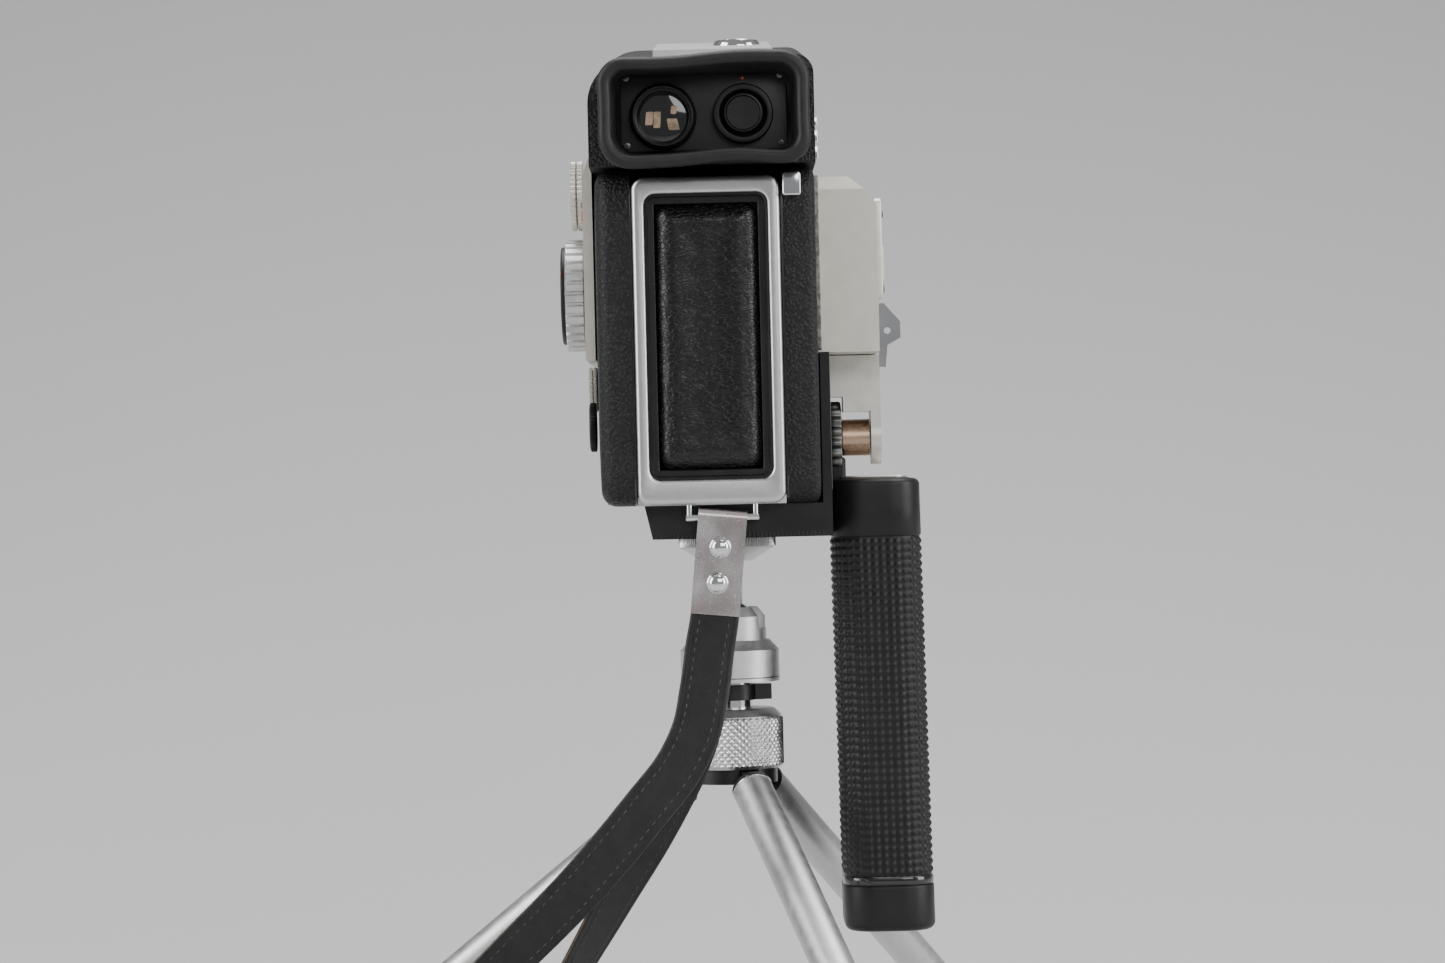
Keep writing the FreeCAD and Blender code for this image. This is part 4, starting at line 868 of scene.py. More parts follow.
class FILMCAM_OT_finder(bpy.types.Operator):
    """Make the eyecup with its wavy rolled lip, the eyepiece plate, its screws and lenses"""
    bl_idname = "filmcam.finder"
    bl_label = "Viewfinder"

    def execute(self, context):
        low, high = node_box("eyecup")
        lip = sizes().lip_radius / MM
        centre = ((low[0] + high[0]) / 2, (low[2] + high[2]) / 2)
        half = ((high[0] - low[0]) / 2, (high[2] - low[2]) / 2)

        def wave(u, v, flare):
            s = (u - centre[0]) / half[0]
            t = (v - centre[1]) / half[1]
            if t > 0:
                lift = -1.5 * (1 - smoothed(-0.9, 0.75, s)) + 0.25 * math.sin(s * 5.5) - 0.25
            else:
                lift = 1.5 * math.exp(-((s - 0.28) / 0.42) ** 2) \
                    + 0.45 * smoothed(0.55, 1.0, s)
            ease = smoothed(0.1, 0.9, abs(t))
            squeeze = 0.5 * math.cos(t * 1.5) * -math.copysign(1, s) * smoothed(0.6, 1, abs(s))
            return u + squeeze * flare, v + lift * ease * flare

        rows = [(2.4, high[1], 0.0), (2.3, high[1] - 5, 0.15), (1.8, high[1] - 10, 0.4),
                (1.0, high[1] - 14, 0.75), (0.45, high[1] - 16.6, 0.95)]
        for k in range(1, 12):
            turn = math.pi * k / 12
            rows.append((lip - lip * math.cos(turn), low[1] + lip - lip * math.sin(turn), 1.0))
        rows += [(2 * lip - 0.15, low[1] + lip + 1.2, 0.95), (4.0, low[1] + 6, 0.7),
                 (4.3, low[1] + 10, 0.4), (4.7, low[1] + 13.5, 0.15),
                 (5.4, low[1] + 15.9, 0.0), (7.2, low[1] + 16.6, 0.0)]
        rings = []
        points_per_corner = 11
        for inset, along, flare in rows:
            loop = []
            shape = rounded_loop((low[0] + inset, low[2] + inset),
                                 (high[0] - inset, high[2] - inset),
                                 [max(1.2, r - inset * 0.8) for r in (9, 7.5, 8, 7.5)], 10)
            # extra points along the straight sides so that the lip can wave
            for n, (u, v) in enumerate(shape):
                nu, nv = shape[(n + 1) % len(shape)]
                parts = 14 if n % points_per_corner == points_per_corner - 1 else 1
                for m in range(parts):
                    w = m / parts
                    loop.append(wave(u + (nu - u) * w, v + (nv - v) * w, flare))
            rings.append([back_plane(u, v, along) for u, v in loop])
        points, faces = bridged(rings, closed=True)
        piece("eyecup_rubber", points, faces, "camera", soft_rubber(),
              smooth=70, stands_for=["eyecup"])

        low, high = node_box("eyepiece_plate")
        slab("eyepiece_panel", box_outline((low[0], low[2]), (high[0], high[2]), 1.5),
             back_plane, high[1], low[1], (0.2, 0.5), "camera", black_enamel(),
             ["eyepiece_plate"])
        for n, (u, v) in enumerate(((low[0] + 1.9, high[2] - 2.2), (low[0] + 1.9, low[2] + 1.9),
                                    (high[0] - 1.9, high[2] - 2.2),
                                    (high[0] - 1.9, low[2] + 1.9))):
            screw(f"eyepiece_screw_{n + 1}", at(u, low[1], v), -Y, 0.95, "camera",
                  dark_steel(), turn=0.5 + n)

        # left eyepiece: focusing ring with a fine knurl and a coated lens deep inside
        low, high = node_box("dioptre_ring")
        eye = at((low[0] + high[0]) / 2, high[1], (low[2] + high[2]) / 2)
        deep = high[1] - low[1]
        radius = (high[0] - low[0]) / 2

        def knurl(angle, row):
            return -0.28 * (0.5 + 0.5 * math.cos(angle * 56)) if 1 <= row <= 3 else 0.0
        turned("dioptre_ring_knurled", eye, -Y, [
            (radius - 0.2, 0), (radius, 0.2), (radius, deep * 0.5), (radius, deep - 1.3),
            (radius - 0.5, deep - 0.7), (radius - 0.75, deep - 0.25), (radius - 1.1, deep),
            (radius - 1.4, deep), (radius - 1.6, deep - 0.25), (radius - 1.7, deep - 0.9),
            (radius - 1.85, deep - 0.95), (radius - 1.9, deep - 1.7),
            (radius - 2.0, deep - 1.75), (radius - 2.05, 0.4), (radius - 2.05, 0.2)],
            "dioptre", black_enamel(), steps=224, relief=knurl,
            stands_for=["dioptre_ring"], caps=(False, False))
        # the well and the eye lens are glossy near-black: painted shade of the deep eyepiece
        bowl = radius - 2.07
        seat = high[1] - node_box("eyepiece_plate")[0][1]
        turned("dioptre_well", eye, -Y, [(bowl, seat + 0.05), (bowl, seat + 0.7),
                                         (bowl - 0.7, seat + 0.72),
                                         (bowl - 0.8, seat + 0.35), (0.01, seat + 0.3)],
               "dioptre", painted_shade_glass(), steps=64)
        # painted reflections: warm and pale patches of colour that stand for what the coated glass reflects
        for number, (u, v, w, h, lean, finish) in enumerate((
                (-3.7, -0.3, 2.0, 3.6, 0.10, copper_bronze),
                (-1.6, -0.7, 1.9, 4.4, 0.06, amber_painted_reflection),
                (2.7, -2.0, 2.9, 3.1, -0.22, amber_painted_reflection),
                (3.0, 1.9, 1.6, 2.2, 0.12, copper_bronze))):
            loop = []
            for s, t in rounded_loop((-w / 2, -h / 2), (w / 2, h / 2), 0.35, 4):
                loop.append((u + s + t * lean, v + t))
            base = [eye + X * s * MM + Z * t * MM - Y * (seat + 0.35) * MM for s, t in loop]
            tilt = [eye + X * s * 0.97 * MM + Z * t * 0.97 * MM
                    - Y * (seat + 1.24 + 0.03 * number) * MM for s, t in loop]
            points, faces = bridged([base, tilt])
            piece(f"eye_painted_reflection_{number + 1}", points, faces, "dioptre", finish(),
                  smooth=0)
        turned("eye_lens_glass", eye, -Y, [
            (bowl, seat + 0.5), (bowl, seat + 0.75), (bowl * 0.85, seat + 0.95),
            (bowl * 0.6, seat + 1.1), (bowl * 0.3, seat + 1.18), (0.01, seat + 1.2)],
            "dioptre", painted_shade_glass(),
            steps=64, stands_for=["eye_lens"])

        # right eyepiece: plain ring round a dark stepped well
        low, high = node_box("meter_eyepiece")
        well = at((low[0] + high[0]) / 2, high[1], (low[2] + high[2]) / 2)
        deep = high[1] - low[1]
        radius = (high[0] - low[0]) / 2
        turned("meter_eyepiece_ring", well, -Y, [
            (radius, 0), (radius, deep - 0.6), (radius - 0.25, deep - 0.15),
            (radius - 0.7, deep), (radius - 1.5, deep - 0.1), (radius - 2.1, deep - 0.7),
            (radius - 2.35, deep - 1.4), (radius - 2.6, deep - 1.5), (radius - 2.6, 4.0),
            (radius - 2.9, 3.7), (radius - 2.9, 4.6), (radius - 3.3, 4.7), (radius - 3.6, 4.2),
            (0.01, 4.1)], "camera", satin_black(), steps=96,
            stands_for=["meter_eyepiece"])
        turned("sight_mark", at(6.8, low[1] + 3.6, high[2] + 1.6), -Y, [
            (0.35, 0), (0.35, 0.16), (0.2, 0.22), (0.01, 0.24)], "camera", orange_paint(),
            steps=20)
        return {"FINISHED"}


class FILMCAM_OT_top(bpy.types.Operator):
    """Make the top: leather-covered finder housing, silver plate and release button"""
    bl_idname = "filmcam.top"
    bl_label = "Top"

    def execute(self, context):
        eased_edges(NODES["top_plate"], 0.5, 3, 30)
        eased_edges(NODES["finder_housing"], 0.5, 3, 40)
        low, high = node_box("release_button")
        radius = (high[0] - low[0]) / 2
        tall = high[2] - low[2]
        turned("release_button_cap", at((low[0] + high[0]) / 2, (low[1] + high[1]) / 2, low[2]),
               Z, [(radius, 0), (radius, tall * 0.4), (radius - 0.2, tall * 0.54),
                   (radius - 0.5, tall * 0.62), (radius - 0.9, tall * 0.66),
                   (radius - 1.5, tall * 0.64), (radius - 3.0, tall * 0.57),
                   (radius - 5.0, tall * 0.53), (0.01, tall * 0.5)],
               "release_button", polished_chrome(),
               stands_for=["release_button"])
        middle_x = (low[0] + high[0]) / 2
        turned("release_collar", at(middle_x, 0, low[2] - 1.2), Z, [
            (radius + 0.5, 0), (radius + 1.9, 0), (radius + 1.9, 1.0), (radius + 1.5, 1.4),
            (radius + 0.5, 1.4)], "camera", polished_chrome(),
            caps=(False, False))
        return {"FINISHED"}


def toothed(count, depth, low_row, high_row, sharp=1.0):
    """relief for turned(): teeth on the rows from low_row to high_row."""
    def relief(angle, row):
        if not low_row <= row <= high_row:
            return 0.0
        wave = 0.5 + 0.5 * math.cos(angle * count)
        return -depth * (wave ** sharp)
    return relief


class FILMCAM_OT_left_controls(bpy.types.Operator):
    """Make the ribbed wheels, winding knob and caps on the left side"""
    bl_idname = "filmcam.left_controls"
    bl_label = "Left Controls"

    def execute(self, context):
        eased_edges(NODES["dial_plate"], 0.35, 2, 25)
        for name, made, teeth, body in (
                ("speed_wheel", "speed_wheel_ribbed", 44, "speed_wheel"),
                ("counter_wheel", "counter_wheel_ribbed", 36, "counter_wheel")):
            low, high = node_box(name)
            radius = (high[1] - low[1]) / 2
            wide = high[0] - low[0]
            hub = at(high[0], (low[1] + high[1]) / 2, (low[2] + high[2]) / 2)
            turned(made, hub, -X, [
                (radius - 1.6, 0), (radius - 0.4, 0.02), (radius, 0.25), (radius, wide * 0.42),
                (radius - 0.5, wide * 0.47), (radius - 0.95, wide * 0.5),
                (radius - 0.5, wide * 0.54), (radius, wide * 0.59), (radius, wide - 0.25),
                (radius - 0.4, wide - 0.05), (radius - 1.2, wide), (radius - 1.8, wide - 0.3),
                (radius * 0.45, wide - 0.35), (radius * 0.38, wide - 0.1), (0.01, wide - 0.1)],
                body, warm_silver(), steps=teeth * 8,
                relief=toothed(teeth, 0.42, 1, 9, 0.8), stands_for=[name], smooth=50)
        low, high = node_box("winding_knob")
        radius = (high[1] - low[1]) / 2
        foot = node_box("dial_plate")[0][0] - 0.3
        wide = foot - low[0]
        hub = at(foot, (low[1] + high[1]) / 2, (low[2] + high[2]) / 2)
        turned("winding_knob_ridged", hub, -X, [
            (radius - 3, 0), (radius - 0.5, 0.05), (radius, 0.4), (radius, wide * 0.4),
            (radius, wide * 0.76), (radius - 0.5, wide * 0.8), (radius - 1.5, wide * 0.815),
            (radius - 1.9, wide * 0.8), (0.01, wide * 0.8)],
            "winding_knob", drawn_aluminium(), steps=448,
            relief=lambda angle, row: (-0.9 * smoothed(0.25, 0.75, math.cos(angle * 32))
                                       if 1 <= row <= 5 else 0.0),
            stands_for=["winding_knob"], smooth=50)
        turned("winding_knob_cap", hub, -X, [
            (radius - 1.95, wide * 0.79), (radius - 1.95, wide * 0.93),
            (radius - 2.3, wide * 0.985), (radius - 3.2, wide), (radius - 6.5, wide),
            (radius - 7.2, wide - 0.35), (0.01, wide - 0.35)],
            "winding_knob", satin_black())
        turned("winding_knob_mark", hub - Y * (radius - 3.6) * MM + Z * 5.2 * MM, -X, [
            (0.8, wide - 0.2), (0.8, wide + 0.0), (0.01, wide + 0.0)], "winding_knob",
            orange_paint(), steps=24)
        low, high = node_box("battery_cap")
        radius = (high[1] - low[1]) / 2
        wide = high[0] - low[0]
        hub = at(high[0], (low[1] + high[1]) / 2, (low[2] + high[2]) / 2)
        turned("battery_cap_disc", hub, -X, [
            (radius - 0.3, 0), (radius, 0.25), (radius, wide - 0.45),
            (radius - 0.45, wide - 0.05), (radius - 1.0, wide), (radius - 1.4, wide - 0.15),
            (0.01, wide - 0.15)], "battery_cap", satin_black(),
            steps=180, relief=toothed(45, 0.18, 1, 2), stands_for=["battery_cap"])
        # the coin slot is a thin dark plate: painted shade in the slot
        slab("battery_cap_slot", box_outline((hub_mm(hub)[1] - 4.2, hub_mm(hub)[2] - 0.6),
                                             (hub_mm(hub)[1] + 4.2, hub_mm(hub)[2] + 0.6), 0.3),
             side_plane, low[0] + 0.5, low[0] + 0.1, (0.02, 0.05), "battery_cap",
             painted_shade_glass(), steps=2)
        # red index beside the speed wheel
        low, high = node_box("dial_plate")
        slab("speed_index", box_outline((low[1] + 0.2, 263.8), (low[1] + 3.6, 267.0), 0.4),
             side_plane, low[0] + 1.2, low[0] - 0.25, (0.02, 0.15), "camera", index_paint(),
             steps=2)
        slab("speed_index_holder", box_outline((low[1] + 0.4, 267.6), (low[1] + 3.2, 269.2),
                                               0.3),
             side_plane, low[0] + 1.2, low[0] - 0.35, (0.02, 0.15), "camera", dark_steel(),
             steps=2)
        return {"FINISHED"}


def hub_mm(place):
    """A point in millimetres from the tripod's axis and the floor."""
    return ((place.x - TRIPOD.x) / MM, (place.y - TRIPOD.y) / MM, place.z / MM)


# ------------------------------------------------------------------ right side and grip
class FILMCAM_OT_right_side(bpy.types.Operator):
    """Make the meter housing's trim, its side plate, the winged lug and the light seal"""
    bl_idname = "filmcam.right_side"
    bl_label = "Right Side"

    def execute(self, context):
        for name, width in (("side_housing", 0.5), ("grip_bracket", 0.4), ("side_lug", 0.3)):
            eased_edges(NODES[name], width, 3, 30)
        finished("side_lug", polished_chrome())
        low, high = node_box("side_housing")
        slab("side_plate", box_outline((low[1] + 3.5, low[2] + 14.5), (high[1] - 4, high[2] - 7),
                                       2.0),
             side_plane, high[0] - 0.4, high[0] + 1.5, (0.1, 0.5), "camera", warm_silver())
        slab("side_plate_step", box_outline((low[1] + 9, low[2] + 19), (high[1] - 9,
                                                                     high[2] - 20), 1.5),
             side_plane, high[0] + 1.4, high[0] + 2.1, (0.05, 0.3), "camera", painted_panel())
        for n, (u, v) in enumerate(((low[1] + 5.6, high[2] - 11.5), (low[1] + 5.6, low[2] + 17),
                                    (high[1] - 7, high[2] - 11.5), (high[1] - 7, low[2] + 17))):
            screw(f"side_plate_screw_{n + 1}", at(high[0] + 1.5, u, v), X, 1.1, "camera",
                  dark_steel(), turn=0.3 + n)
        seal = finish_material("speckled seal", "bloom", (0.10, 0.095, 0.085),
                               (0.42, 0.40, 0.36), (0.8, 0.9), 4200, 0.12 * MM,
                               tone=(0.42, 0.7))
        slab("housing_seal", box_outline((low[1] - 0.9, low[2] + 0.6),
                                         (low[1] + 20, high[2] - 0.8), 1.0),
             side_plane, low[0] - 0.05, low[0] + 1.1, (0.1, 0.3), "camera", seal)
        # small chrome guides above the latch, along the rear right edge
        for n, (base, tall) in enumerate(((277.6, 3.6), (282.2, 3.2), (286.4, 2.4))):
            slab(f"edge_guide_{n + 1}", box_outline((24.3, base), (26.5, base + tall), 0.3),
                 back_plane, -50.4, -52.4 + n * 0.3, (0.05, 0.3), "camera", polished_chrome(),
                 steps=3)
        low, high = node_box("thumbwheel")
        radius = (high[2] - low[2]) / 2
        wide = high[0] - low[0]
        hub = at(low[0], (low[1] + high[1]) / 2, (low[2] + high[2]) / 2)
        turned("thumbwheel_scalloped", hub, X, [
            (radius - 1.4, 0), (radius - 0.35, 0.1), (radius, 0.5), (radius, wide - 0.5),
            (radius - 0.35, wide - 0.1), (radius - 1.4, wide), (5.15, wide), (5.15, 0)],
            "thumbwheel", dark_steel(), steps=216,
            relief=lambda angle, row: (-1.0 * abs(math.cos(angle * 9)) ** 3
                                       if 1 <= row <= 4 else 0.0),
            stands_for=["thumbwheel"], caps=(False, False), smooth=50)
        eased_edges(NODES["grip_shaft"], 0.25, 2, 40)
        return {"FINISHED"}


def grip_loop(inset, count):
    """The grip's section as evenly spaced points with their outward directions."""
    low, high = node_box("grip_sleeve")
    shape = rounded_loop((low[0] + inset, low[1] + inset), (high[0] - inset, high[1] - inset),
                         8.6 - inset, 24)
    lengths = [0.0]
    for n in range(len(shape)):
        u, v = shape[n]
        nu, nv = shape[(n + 1) % len(shape)]
        lengths.append(lengths[-1] + math.hypot(nu - u, nv - v))
    total = lengths[-1]
    points = []
    n = 0
    for k in range(count):
        want = total * k / count
        while lengths[n + 1] < want:
            n += 1
        part = (want - lengths[n]) / max(1e-9, lengths[n + 1] - lengths[n])
        u, v = shape[n]
        nu, nv = shape[(n + 1) % len(shape)]
        tangent = Vector((nu - u, nv - v, 0)).normalized()
        points.append((u + (nu - u) * part, v + (nv - v) * part, tangent.y, -tangent.x))
    return points, total


def grip_lean(height):
    """How far the grip's axis stands to the right at a height, in millimetres."""
    return 0.8 * (130.8 - height) / 62.8


class FILMCAM_OT_grip(bpy.types.Operator):
    """Make the studded grip sleeve, its smooth head, shiny band and end cap"""
    bl_idname = "filmcam.grip"
    bl_label = "Side Grip"

    def execute(self, context):
        low, high = node_box("grip_sleeve")
        pitch = sizes().grip_pitch / MM
        relief = sizes().grip_relief / MM
        _, total = grip_loop(relief, 100)
        columns = round(total / pitch)
        samples = 6
        loop, _ = grip_loop(relief, columns * samples)
        band_top = low[2] + 2.1
        rows = round((high[2] - band_top - 0.8) / pitch)
        step = (high[2] - band_top - 0.8) / rows
        heights = [(band_top + 0.2, False)]
        heights += [(band_top + 0.4 + step * n / samples, True)
                    for n in range(rows * samples + 1)]
        heights += [(high[2], False)]
        rings = []
        for height, studded in heights:
            ring = []
            row_wave = 0.5 - 0.5 * math.cos(math.tau * (height - band_top - 0.4) / step)
            for k, (u, v, nu, nv) in enumerate(loop):
                wave = 0.5 - 0.5 * math.cos(math.tau * k / samples)
                stud = (row_wave * wave) ** 0.65 if studded else 0.0
                ring.append(at(u + nu * relief * stud + grip_lean(height),
                               v + nv * relief * stud, height))
            rings.append(ring)
        points, faces = bridged(rings)
        piece("grip_sleeve_studded", points, faces, "grip", grip_black(),
              smooth=70, stands_for=["grip_sleeve"])

        def lathe_up(name, rows, finish, stands_for=()):
            rings = []
            for inset, height in rows:
                part, _ = grip_loop(inset, 144)
                rings.append([at(u + grip_lean(height), v, height) for u, v, _, _ in part])
            points, faces = bridged(rings)
            return piece(name, points, faces, "grip", finish, 40, stands_for)
        lathe_up("grip_band", [(0.6, low[2] - 0.3), (0.15, low[2] - 0.1), (0.0, low[2] + 0.25),
                               (0.0, band_top - 0.3), (0.15, band_top), (0.7, band_top + 0.3)],
                 gloss_black())
        cap_low, cap_high = node_box("grip_end_cap")
        rows = [(5.5, cap_low[2])]
        rows += [(2.2 * (1 - math.sin(math.radians(a))),
                  cap_low[2] + 2.2 * (1 - math.cos(math.radians(a)))) for a in range(0, 91, 15)]
        rows += [(0.0, cap_high[2] - 1.0), (0.1, cap_high[2] - 0.5), (0.45, cap_high[2] - 0.2),
                 (0.8, cap_high[2])]
        lathe_up("grip_cap", rows, satin_black(), ["grip_end_cap"])
        head_low, head_high = node_box("grip_head")
        top = head_low[2] + 16.8
        rows = [(0.8, head_low[2] - 0.1), (0.35, head_low[2] + 0.1), (0.1, head_low[2] + 0.5),
                (0.1, head_low[2] + 8)]
        # the head's top is gently domed and falls away at the rim
        rows += [(0.1 + 1.9 * (1 - math.cos(math.radians(a))),
                  top - 0.9 - 1.6 * (1 - math.sin(math.radians(a)))) for a in range(0, 91, 15)]
        rows += [(4.0, top - 0.45), (6.5, top - 0.18), (9.5, top - 0.02)]
        lathe_up("grip_head_moulding", rows, satin_black(), ["grip_head"])
        neck = node_box("grip_shaft")
        start = max(neck[0][0] + 0.3, node_box("cradle")[1][0] + 0.25)
        slab("grip_neck", box_outline((start, low[1] + 10.5),
                                      (neck[0][0] + 7.2, low[1] + 22.5), 1.2),
             top_plane, top - 1.5, head_high[2] - 1.0, (0.1, 1.0), "grip", satin_black(),
             steps=3)
        slab("grip_head_trim", box_outline((low[0] + 3.5 + grip_lean(top), low[1] + 4.5),
                                           (high[0] - 3.5 + grip_lean(top), high[1] - 4.5), 5),
             top_plane, top - 0.5, top + 0.02, (0.05, 0.2), "grip", warm_silver(),
             steps=3)
        return {"FINISHED"}


class FILMCAM_OT_cradle(bpy.types.Operator):
    """Make the cradle's rounded body with the fine ribs along its underside"""
    bl_idname = "filmcam.cradle"
    bl_label = "Cradle"

    def execute(self, context):
        eased_edges(NODES["cradle"], 1.8, 5, 40)
        eased_edges(NODES["front_plate"], 0.6, 3, 40)
        low, high = node_box("cradle")
        count = 40
        start, end = -17.2, 25.6
        for n in range(count):
            u = start + (end - start) * n / (count - 1)
            slab(f"cradle_rib_{n + 1}", box_outline((u - 0.3, low[2] - 0.02),
                                                    (u + 0.3, low[2] + 1.4), 0.2),
                 back_plane, low[1] + 6, low[1] - 0.12, (0.02, 0.15), "camera",
                 satin_black(), steps=2)
        slab("cheek_edge", box_outline((high[0] - 0.55, 190), (high[0] + 0.12, 226), 0.25),
             back_plane, low[1] + 30, low[1] + 0.6, (0.02, 0.15), "camera", gloss_black(),
             steps=2)
        return {"FINISHED"}


# ------------------------------------------------------------------ strap and clip
STRAP_ROUTE = (
    (-2.3, -49.65, 172, 0), (-3.75, -49.65, 157.5, 0), (-5.4, -49.9, 148.5, 0),
    (-7, -50.6, 138.3, 0), (-9.6, -51.4, 127, 0), (-14.6, -52.3, 117.2, 0),
    (-22.4, -53.4, 107.6, 0), (-31, -54.4, 97.6, 2), (-39.6, -55.3, 88.2, 5),
    (-48.6, -56, 79.2, 9), (-58.8, -56.6, 69.6, 14), (-70.5, -57, 58.2, 24),
    (-82, -57.2, 45.6, 40), (-92, -57.2, 32.2, 60), (-99.5, -57.2, 19.4, 78),
    (-100.8, -57.2, 10.2, 90), (-95, -57.1, 5.4, 90), (-86.8, -56.6, 7.6, 92),
    (-77, -55.2, 17, 100), (-66.6, -53, 30, 108), (-56.4, -51, 44, 116),
    (-46.6, -49.4, 58.6, 124), (-37.6, -48.4, 73.2, 133), (-29.8, -47.9, 86.4, 143),
    (-22.8, -47.7, 98.2, 154), (-17.4, -47.6, 108.2, 164), (-12.9, -47.6, 117.4, 173),
    (-9.2, -47.7, 127.2, 179), (-6.7, -47.8, 138.3, 180), (-5.2, -47.9, 148.5, 180),
    (-3.75, -47.95, 157.5, 180), (-2.3, -47.95, 172, 180))


def strap_line(parts):
    """The strap's centre line, smoothed, with its width and thickness directions."""
    places = [at(x, y, z) for x, y, z, _ in STRAP_ROUTE]
    twists = [turn for _, _, _, turn in STRAP_ROUTE]
    centres, angles = [], []
    for n in range(len(places) - 1):
        a, b, c, d = (places[max(0, min(len(places) - 1, n + k))] for k in (-1, 0, 1, 2))
        ta, tb, tc, td = (twists[max(0, min(len(twists) - 1, n + k))] for k in (-1, 0, 1, 2))
        for k in range(parts):
            t = k / parts
            weights = (-t ** 3 + 2 * t * t - t, 3 * t ** 3 - 5 * t * t + 2,
                       -3 * t ** 3 + 4 * t * t + t, t ** 3 - t * t)
            centres.append((a * weights[0] + b * weights[1] + c * weights[2]
                            + d * weights[3]) / 2)
            angles.append((ta * weights[0] + tb * weights[1] + tc * weights[2]
                           + td * weights[3]) / 2)
    centres.append(places[-1])
    angles.append(twists[-1])
    frames = []
    for n, centre in enumerate(centres):
        along = (centres[min(n + 1, len(centres) - 1)] - centres[max(n - 1, 0)]).normalized()
        square = along.cross(Y).normalized()
        turn = math.radians(angles[n])
        width = (square * math.cos(turn) + Y * math.sin(turn)).normalized()
        width = (width - along * width.dot(along)).normalized()
        frames.append((centre, along, width, along.cross(width)))
    return frames


class FILMCAM_OT_strap(bpy.types.Operator):
    """Make the hand strap: rounded leather band, edge lines and stitches, clip and rivets"""
    bl_idname = "filmcam.strap"
    bl_label = "Hand Strap"

    def execute(self, context):
        frames = strap_line(8)
        half_w, half_t = 6.5 * MM, 0.8 * MM
        edge_start = 17 * MM
        section = [(-1, 0), (-0.985, 0.55), (-0.93, 0.9), (-0.86, 1.0), (-0.8, 0.92),
                   (-0.76, 0.9), (-0.72, 0.98), (-0.5, 1.0), (0, 1.04), (0.5, 1.0),
                   (0.72, 0.98), (0.76, 0.9), (0.8, 0.92), (0.86, 1.0), (0.93, 0.9),
                   (0.985, 0.55), (1, 0)]
        section += [(u, -v) for u, v in reversed(section[1:-1])]
        rings = []
        for n, (centre, _, width, thick) in enumerate(frames):
            ripple = 0.12 * MM * noise.noise(Vector((n * 0.11, 3.0, 0.0)))
            rings.append([centre + width * (u * half_w + (ripple if abs(u) > 0.9 else 0))
                          + thick * v * half_t for u, v in section])
        points, faces = bridged(rings)
        band = piece("strap_band", points, faces, "strap", strap_leather(),
                     smooth=60, stands_for=["strap"])
        # raw edges show a browner, rougher cut
        band.data.materials.append(raw_leather_edge())
        count = len(section)
        for face in band.data.polygons:
            spread = [band.data.vertices[k].index % count for k in face.vertices]
            if all(min(abs(k), abs(k - 16), abs(k - count)) <= 1 for k in spread):
                face.material_index = 1
        # stitches along both edges of both faces
        pitch = sizes().stitch_pitch
        lengths = [0.0]
        for n in range(1, len(frames)):
            lengths.append(lengths[-1] + (frames[n][0] - frames[n - 1][0]).length)
        points, faces = [], []
        number, n = 0, 0
        while edge_start + number * pitch < lengths[-1] - edge_start:
            want = edge_start + number * pitch
            while lengths[n + 1] < want:
                n += 1
            centre, along, width, thick = frames[n]
            centre = centre + along * (want - lengths[n])
            for side in (-1, 1):
                for face_side in (-1, 1):
                    base = centre + width * side * 3.9 * MM + thick * face_side * 0.80 * MM
                    start = len(points)
                    for s, reach in ((-1, 0.02), (-0.6, 0.1), (0, 0.13), (0.6, 0.1),
                                     (1, 0.02)):
                        for k in range(6):
                            turn = math.tau * k / 6
                            points.append(base + along * s * pitch * 0.27
                                          + width * math.cos(turn) * reach * MM * 1.2
                                          + thick * math.sin(turn) * reach * MM)
                    for row in range(4):
                        for k in range(6):
                            m = (k + 1) % 6
                            here, there = start + row * 6, start + row * 6 + 6
                            faces.append((here + k, here + m, there + m, there + k))
                    faces.append(tuple(start + k for k in range(6)))
                    faces.append(tuple(start + 24 + k for k in range(6)))
            number += 1
        piece("strap_stitches", points, faces, "strap", thread(), smooth=60)

        finished("strap_clip", nickel_reflection_tint())
        eased_edges(NODES["strap_clip"], 0.25, 2, 40)
        finished("strap_bail", polished_chrome())
        down = (frames[8][0] - frames[0][0]).normalized()
        hinge_line = at(-1.1, -48.8, 183.4)
        for number, drop in enumerate((8.0, 17.5)):
            place = hinge_line + down * drop * MM
            place.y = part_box("strap_clip")[0].y
            turned(f"strap_rivet_{number + 1}", place, -Y, [
                (2.8, 0.0), (2.8, 0.1), (2.62, 0.25), (2.5, 0.7), (2.15, 1.2), (1.6, 1.6),
                (0.8, 1.82), (0.01, 1.88)], "strap", polished_chrome(),
                steps=48)
        return {"FINISHED"}


